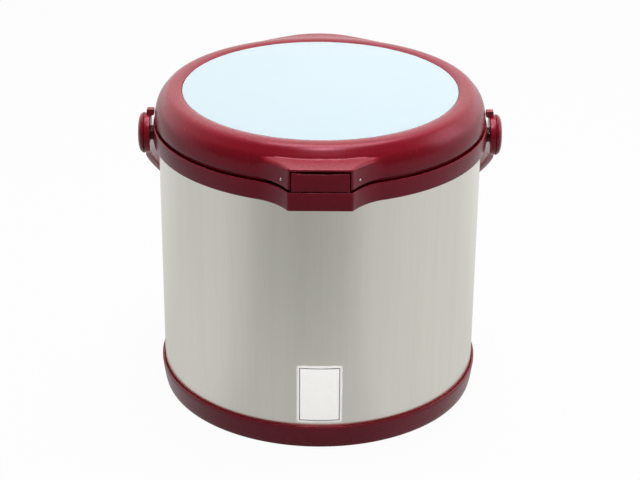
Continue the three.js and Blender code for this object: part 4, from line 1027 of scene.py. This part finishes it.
class COOKER_OT_bail(CookerOperator, Operator):
    """The carrying handle: a flat bail that swells into a grip, with an eye and a lug a side"""

    bl_idname = "cooker.bail"
    bl_label = "Carrying handle"

    rest_angle = 45.2
    reach = 212.25 * MM
    samples, section_sides = 161, 24
    squareness = 0.45

    @staticmethod
    def eased(share):
        """A share held between 0 and 1 and eased at both ends: three squares less two cubes."""
        share = np.clip(share, 0, 1)
        return share ** 2 * (3 - 2 * share)

    def loop(self, half):
        """The bail before it is folded: half an ellipse round the pivot axis. Its section is a
        squared oval, whose thickness and width grow smoothly into the grip. Beside the hubs it
        swells outwards and is wider, and tapers from there."""
        share = np.linspace(0, 1, self.samples)
        angle = math.pi * share
        away = self.reach * np.sin(angle)
        grip = self.eased((0.32 - np.abs(share - 0.5)) / 0.16)
        swell = (self.eased((away - 15 * MM) / (18 * MM))
                 * self.eased((150 * MM - away) / (110 * MM)))
        taper = 1 - self.eased((away - 22 * MM) / (56 * MM))
        thick = 5 * MM + 3.5 * MM * grip + 1.4 * MM * swell
        width = 13 * MM + 3.6 * MM * grip + 6 * MM * taper
        half = half + 3.1 * MM * swell
        centre = np.column_stack([half * np.cos(angle), away, 0 * angle])
        along = np.gradient(centre, axis=0)
        outward = directions(np.column_stack([along[:, 1], -along[:, 0], 0 * angle]))
        turn = np.linspace(0, 2 * math.pi, self.section_sides, endpoint=False)
        across, up = (np.sign(wave) * np.abs(wave) ** self.squareness
                      for wave in (np.cos(turn), np.sin(turn)))
        offset = outward[:, None, :] * (across[None, :, None] * thick[:, None, None] / 2)
        lift = np.array([0, 0, 1]) * (up[None, :, None] * width[:, None, None] / 2)
        return lofted(centre[:, None, :] + offset + lift)

    def execute(self, context):
        inner, outer = 147.2 * MM, BAIL_OUTER
        fold = Matrix.Translation(PIVOT) @ Matrix.Rotation(math.radians(-self.rest_angle), 4, "X")
        hubs = bars_each_side(
            17.6 * MM, inner, outer, PIVOT, sides=FINE_SIDES, edge=0.8 * MM)
        foot, top, slack, half_depth = PIVOT.z + 11 * MM, PIVOT.z + 22.4 * MM, 0.15 * MM, 3 * MM
        view = softened([
            (inner + slack, foot), (outer - slack, foot), (150.4 * MM, top - 6 * MM),
            (150.1 * MM, top), (143.8 * MM, top), (143.8 * MM, top - 5 * MM),
            (146.6 * MM, top - 6 * MM)], 0.8 * MM, closed=True)
        lugs = [lofted([upright(view * (side, 1), y) for y in (-half_depth, half_depth)])
                for side in (-1, 1)]
        bail = joined(moved(self.loop((inner + outer) / 2), fold), *hubs, *lugs)
        add_piece("bail_surface", bail, "maroon_plastic", "bail", "bail_handle")
        return {"FINISHED"}


class COOKER_OT_hub_caps(CookerOperator, Operator):
    """The domed caps over the bail's two pivots"""

    bl_idname = "cooker.hub_caps"
    bl_label = "Hub caps"

    def execute(self, context):
        angle = np.linspace(math.pi / 2, 0, 14)
        radius = CAP_RADIUS * np.sqrt(np.sin(angle))
        rise = (CAP_OUTER - CAP_INNER) * np.cos(angle)
        dome = np.column_stack([radius, CAP_INNER + rise])
        hollow, bottom = 8 * MM, CAP_INNER + 2.8 * MM
        profile = [(0, bottom), (hollow, bottom), (hollow, CAP_INNER), *dome[:-1], (0, CAP_OUTER)]
        cap = along_x(profile, FINE_SIDES, PIVOT)
        add_piece("hub_cap_right_surface", cap, "maroon_plastic", "bail", "hub_cap_right")
        other = moved(cap, Matrix.Rotation(math.pi, 4, "Z"))
        add_piece("hub_cap_left_surface", other, "maroon_plastic", "bail", "hub_cap_left")
        return {"FINISHED"}


class COOKER_OT_well(CookerOperator, Operator):
    """The steel well with its stepped mouth"""

    bl_idname = "cooker.well"
    bl_label = "Well"

    def execute(self, context):
        low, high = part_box("inner_liner")
        floor, rim = low.z + LINER_WALL, high.z
        lower, upper, step_bottom, step_top = 113.5 * MM, 127 * MM, rim - 48 * MM, rim - 41 * MM

        def face(out):
            """The wall's inner face, moved outwards and down by a distance."""
            return softened([
                (0, floor - out), (lower + out, floor - out), (lower + out, step_bottom - out),
                (upper + out, step_top - out), (upper + out, rim - out), (high.x, rim - out),
            ], 10 * MM, steps=8)

        profile = np.vstack([face(0), face(LINER_WALL)[::-1]])
        well = turned(profile, context.scene.cooker_sizes.turns)
        add_piece("well_surface", well, "polished_steel", "vessel", "inner_liner")
        return {"FINISHED"}


class COOKER_OT_pot(CookerOperator, Operator):
    """The inner pot with its rolled rim, and its base disc"""

    bl_idname = "cooker.pot"
    bl_label = "Inner pot"

    def execute(self, context):
        sizes, wall = context.scene.cooker_sizes, SHEET_WALL
        low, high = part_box("pot_body")
        inner, floor, rim = high.x - 3.6 * MM, low.z + wall, high.z
        bend, roll, roll_inside = 9 * MM, 1.8 * MM, 1.0 * MM
        path = softened([(0, floor), (inner, floor), (inner, rim - roll)], bend, steps=8)
        outside = softened([
            (0, floor - wall), (inner + wall, floor - wall), (inner + wall, rim - 4 * MM)],
            bend + wall, steps=8)
        a = np.linspace(math.pi, -0.3, 13)
        over, under = (
            np.column_stack([inner + roll + r * np.cos(a), rim - roll + r * np.sin(a)])
            for r in (roll, roll_inside))
        body = turned(np.vstack([path[:-1], over, under[:0:-1], outside[::-1]]), sizes.turns)
        add_piece("pot_surface", body, "polished_steel", "pot", "pot_body")
        low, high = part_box("pot_base_disc")
        disc = turned(rod(high.x, low.z, high.z, 1 * MM), sizes.turns)
        add_piece("pot_disc_surface", disc, "brushed_steel", "pot", "pot_base_disc")
        return {"FINISHED"}


class COOKER_OT_pot_lid(CookerOperator, Operator):
    """The pot's domed lid and its knob"""

    bl_idname = "cooker.pot_lid"
    bl_label = "Pot lid"

    # The knob's outline: shares of its radius and of its height
    knob_shares = [(0, 0), (0.62, 0), (0.5, 0.25), (0.5, 0.45), (0.93, 0.62), (1, 0.77),
                   (0.85, 0.93), (0.5, 1), (0, 1)]

    def execute(self, context):
        sizes, wall = context.scene.cooker_sizes, SHEET_WALL
        low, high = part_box("pot_lid")
        rim, crown, skirt, fall = low.z + 5 * MM, high.z, 103.6 * MM, 6.5 * MM
        r = np.linspace(0, skirt - 9 * MM, 16)
        dome = np.column_stack([r, crown - fall * (r / r[-1]) ** 2])
        flange = softened(
            [dome[-1], (skirt - wall, rim + wall), (high.x, rim + wall)], 2 * MM)
        top = np.vstack([dome, flange[1:]])
        lid = turned(np.vstack([top, top[::-1] - (0, wall)]), sizes.turns)
        hoop = turned([(skirt - wall, low.z), (skirt, low.z), (skirt, rim + wall / 2),
                       (skirt - wall, rim + wall / 2)], sizes.turns)
        add_piece("pot_lid_surface", joined(lid, hoop), "polished_steel", "pot_cover", "pot_lid")
        low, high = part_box("pot_lid_knob")
        corners = [(high.x * across, low.z + (high.z - low.z) * up)
                   for across, up in self.knob_shares]
        knob = turned(softened(corners, 3 * MM, steps=6), FINE_SIDES)
        add_piece("knob_surface", knob, "knob_plastic", "pot_cover", "pot_lid_knob")
        return {"FINISHED"}


class COOKER_OT_fittings(CookerOperator, Operator):
    """Finishes on the CAD nodes that stay as they are: fasteners, feet, foam and the like"""

    bl_idname = "cooker.fittings"
    bl_label = "Fittings"

    def execute(self, context):
        slots = {entry["node"]: entry["material_slot"] for entry in frame["record"]["subparts"]}
        for name, node in frame["nodes"].items():
            node.data.materials.clear()
            node.data.materials.append(FINISHES[slots[name]])
        return {"FINISHED"}


# Studio


def point_at(made, place, aim):
    """Puts a lamp at a place and turns it towards a point."""
    made.location = place
    made.rotation_euler = (Vector(aim) - Vector(place)).to_track_quat("-Z", "Y").to_euler()


class COOKER_OT_stage(CookerOperator, Operator):
    """Floor, world, lamps and the camera at the photograph's viewing angle"""

    bl_idname = "cooker.stage"
    bl_label = "Studio"

    camera_place = (0.0008, -1.4914, 0.8396)
    camera_turn, camera_tilt, camera_roll = -0.3, 25.40, 0.5
    lens, sensor_width = 103.68, 36
    lamp_aim = (0, 0, 0.16)

    # Name, place, size in metres and power of each soft lamp
    soft_lamps = [
        ("overhead_light", (0.1, 0.3, 2.2), 1.4, 28.5),
        ("key_light", (0.05, -0.70, 2.0), 0.46, 10),
        ("right_light", (2.2, 0.3, 1.1), 1.1, 6),
    ]

    # The sticker's lamp: its place, aim, power and size, its cone in degrees, the softness of
    # the cone's edge, and how far it shines along x and y for each z
    label_place, label_aim = (0.0008, -1.12, 0.754), (0.0008, -0.14, 0.0545)
    label_power, label_size, label_cone, label_blend = 53, 0.004, 6, 0.05
    shutters = (0.0173, 0.0198)

    # What metal and gloss see round them: shares of a turn from behind, and brightness
    surroundings = [
        (0.0, 0.95), (0.12, 0.78), (0.17, 0.7), (0.21, 0.61), (0.31, 0.62), (0.345, 0.6),
        (0.372, 0.52), (0.405, 0.4), (0.435, 0.415), (0.47, 0.365), (0.505, 0.40), (0.53, 0.43),
        (0.56, 0.48), (0.585, 0.63), (0.62, 0.61), (0.66, 0.66), (0.785, 0.68), (0.82, 0.73),
        (0.88, 0.85), (1.0, 0.95),
    ]

    # The floor's half width, its paint's level, what bounced light loses of that, and the
    # share of plain white that the camera sees
    floor_half, paint_level, bounce_loss, camera_share = 6.0, 0.8, 0.58, 0.96

    # What evens out the floor's mirror image near the cooker
    near_level, near_radius, near_rate, near_most = 0.7, 0.55, 1.35, 0.36

    def floor(self):
        """A wide pale floor. Its mirror image in metal is brighter at the sides than in front,
        and evens out near the cooker: the share of one level there is a rate times the way
        into a radius, up to a limit. It throws less light back onto the cooker than it shows
        to the camera."""
        material, recipe = new_recipe("floor")
        x, y, _ = recipe.axes(3)
        turn = x.math("ARCTAN2", y * -1) / (2 * math.pi) + 0.5
        around = recipe.node("ShaderNodeValToRGB", {"stops": self.surroundings}, {0: turn})
        reach = (x * x + y * y).math("SQRT")
        near = ((self.near_radius - reach) * self.near_rate).clamped()
        seen = around + (self.near_level - around) * near.math("MINIMUM", self.near_most)
        camera_ray, mirror_ray = recipe.rays()
        bounce = camera_ray.other("Is Diffuse Ray")
        white = recipe.node("ShaderNodeEmission")
        mirror_image = recipe.node("ShaderNodeEmission", sockets={"Color": seen})
        paint = recipe.node("ShaderNodeBsdfDiffuse", sockets={
            "Color": self.paint_level - bounce * self.bounce_loss})
        to_camera = recipe.mix_shaders(camera_ray * self.camera_share, paint, white)
        recipe.end(recipe.mix_shaders(mirror_ray, to_camera, mirror_image))
        half = self.floor_half
        corners = raised([(-half, -half), (half, -half), (half, half), (-half, half)], 0)
        made = put("floor", new_mesh("floor", (corners, [(0, 1, 2, 3)]), material))

    def world(self):
        """White to the camera, darker in front of the cooker for gloss, plain for soft light."""
        world = bpy.data.worlds.new("studio")
        world.use_nodes = True
        recipe = Recipe(world.node_tree)
        _, y, _ = recipe.axes(0)
        camera_ray, mirror_ray = recipe.rays()
        gloss_level, soft_level = (y * 1.4 + 0.3).clamped() * 1.15 + 0.1, 0.09
        unseen = mirror_ray * gloss_level + (1 - mirror_ray) * soft_level
        shader = recipe.node("ShaderNodeBackground", sockets={
            "Color": (1, 1, 1, 1), "Strength": camera_ray + (1 - camera_ray) * unseen})
        recipe.end(shader, "ShaderNodeOutputWorld")
        bpy.context.scene.world = world

    def label_light(self):
        """A narrow lamp with shutters that lights the sticker alone, as steel beside it would
        mirror a wide one. It shines where x and y, each divided by z, stay within limits."""
        light = bpy.data.lights.new("label_light", "SPOT")
        light.energy, light.shadow_soft_size = self.label_power, self.label_size
        light.spot_size, light.spot_blend = math.radians(self.label_cone), self.label_blend
        light.use_nodes = True
        recipe = Recipe(light.node_tree)
        x, y, z = recipe.axes(1)
        within_x, within_y = (
            (way / z).math("ABSOLUTE").math("LESS_THAN", limit)
            for way, limit in zip((x, y), self.shutters))
        shader = recipe.node("ShaderNodeEmission", sockets={"Strength": within_x * within_y})
        recipe.end(shader, "ShaderNodeOutputLight")
        point_at(put("label_light", light), self.label_place, self.label_aim)

    def execute(self, context):
        scene = context.scene
        scene.view_settings.view_transform = "Standard"
        self.floor()
        self.world()
        for name, place, size, power in self.soft_lamps:
            light = bpy.data.lights.new(name, "AREA")
            light.shape, light.size, light.energy = "SQUARE", size, power
            point_at(put(name, light), place, self.lamp_aim)
        self.label_light()
        lens = bpy.data.cameras.new("camera")
        lens.sensor_width, lens.lens = self.sensor_width, self.lens
        camera = put("camera", lens)
        aim = Matrix.Rotation(math.radians(90 - self.camera_tilt), 4, "X")
        roll, turn = (Matrix.Rotation(math.radians(angle), 4, "Z")
                      for angle in (self.camera_roll, self.camera_turn))
        camera.matrix_world = turn @ Matrix.Translation(self.camera_place) @ aim @ roll
        scene.camera = camera
        return {"FINISHED"}


OPERATORS = [
    COOKER_OT_stage, COOKER_OT_fittings, COOKER_OT_base_ring, COOKER_OT_drum, COOKER_OT_sticker,
    COOKER_OT_collar, COOKER_OT_well, COOKER_OT_lid_cover, COOKER_OT_lid_disc,
    COOKER_OT_lid_underside, COOKER_OT_latch, COOKER_OT_bail, COOKER_OT_hub_caps, COOKER_OT_pot,
    COOKER_OT_pot_lid,
]


class COOKER_PT_panel(Panel):
    """Sizes, colours and pieces of the cooker"""

    bl_idname = "COOKER_PT_panel"
    bl_label = "Thermal cooker"
    bl_space_type = "VIEW_3D"
    bl_region_type = "UI"
    bl_category = "Cooker"

    def draw(self, context):
        for settings in (context.scene.cooker_sizes, context.scene.cooker_colours):
            box = self.layout.box()
            for name in settings.__annotations__:
                box.prop(settings, name)
        for operator in OPERATORS:
            self.layout.operator(operator.bl_idname)


CLASSES = [CookerSizes, CookerColours, *OPERATORS, COOKER_PT_panel]


def register():
    for one in CLASSES:
        bpy.utils.register_class(one)
    bpy.types.Scene.cooker_sizes = PointerProperty(type=CookerSizes)
    bpy.types.Scene.cooker_colours = PointerProperty(type=CookerColours)


def unregister():
    del bpy.types.Scene.cooker_colours
    del bpy.types.Scene.cooker_sizes
    for one in reversed(CLASSES):
        bpy.utils.unregister_class(one)


def main():
    """Registers the add-on, makes the finishes and every piece."""
    register()
    scene = bpy.context.scene
    make_finishes(scene.cooker_colours, scene.cooker_sizes)
    for operator in OPERATORS:
        group, name = operator.bl_idname.split(".")
        getattr(getattr(bpy.ops, group), name)()


if __name__ == "__main__":
    main()
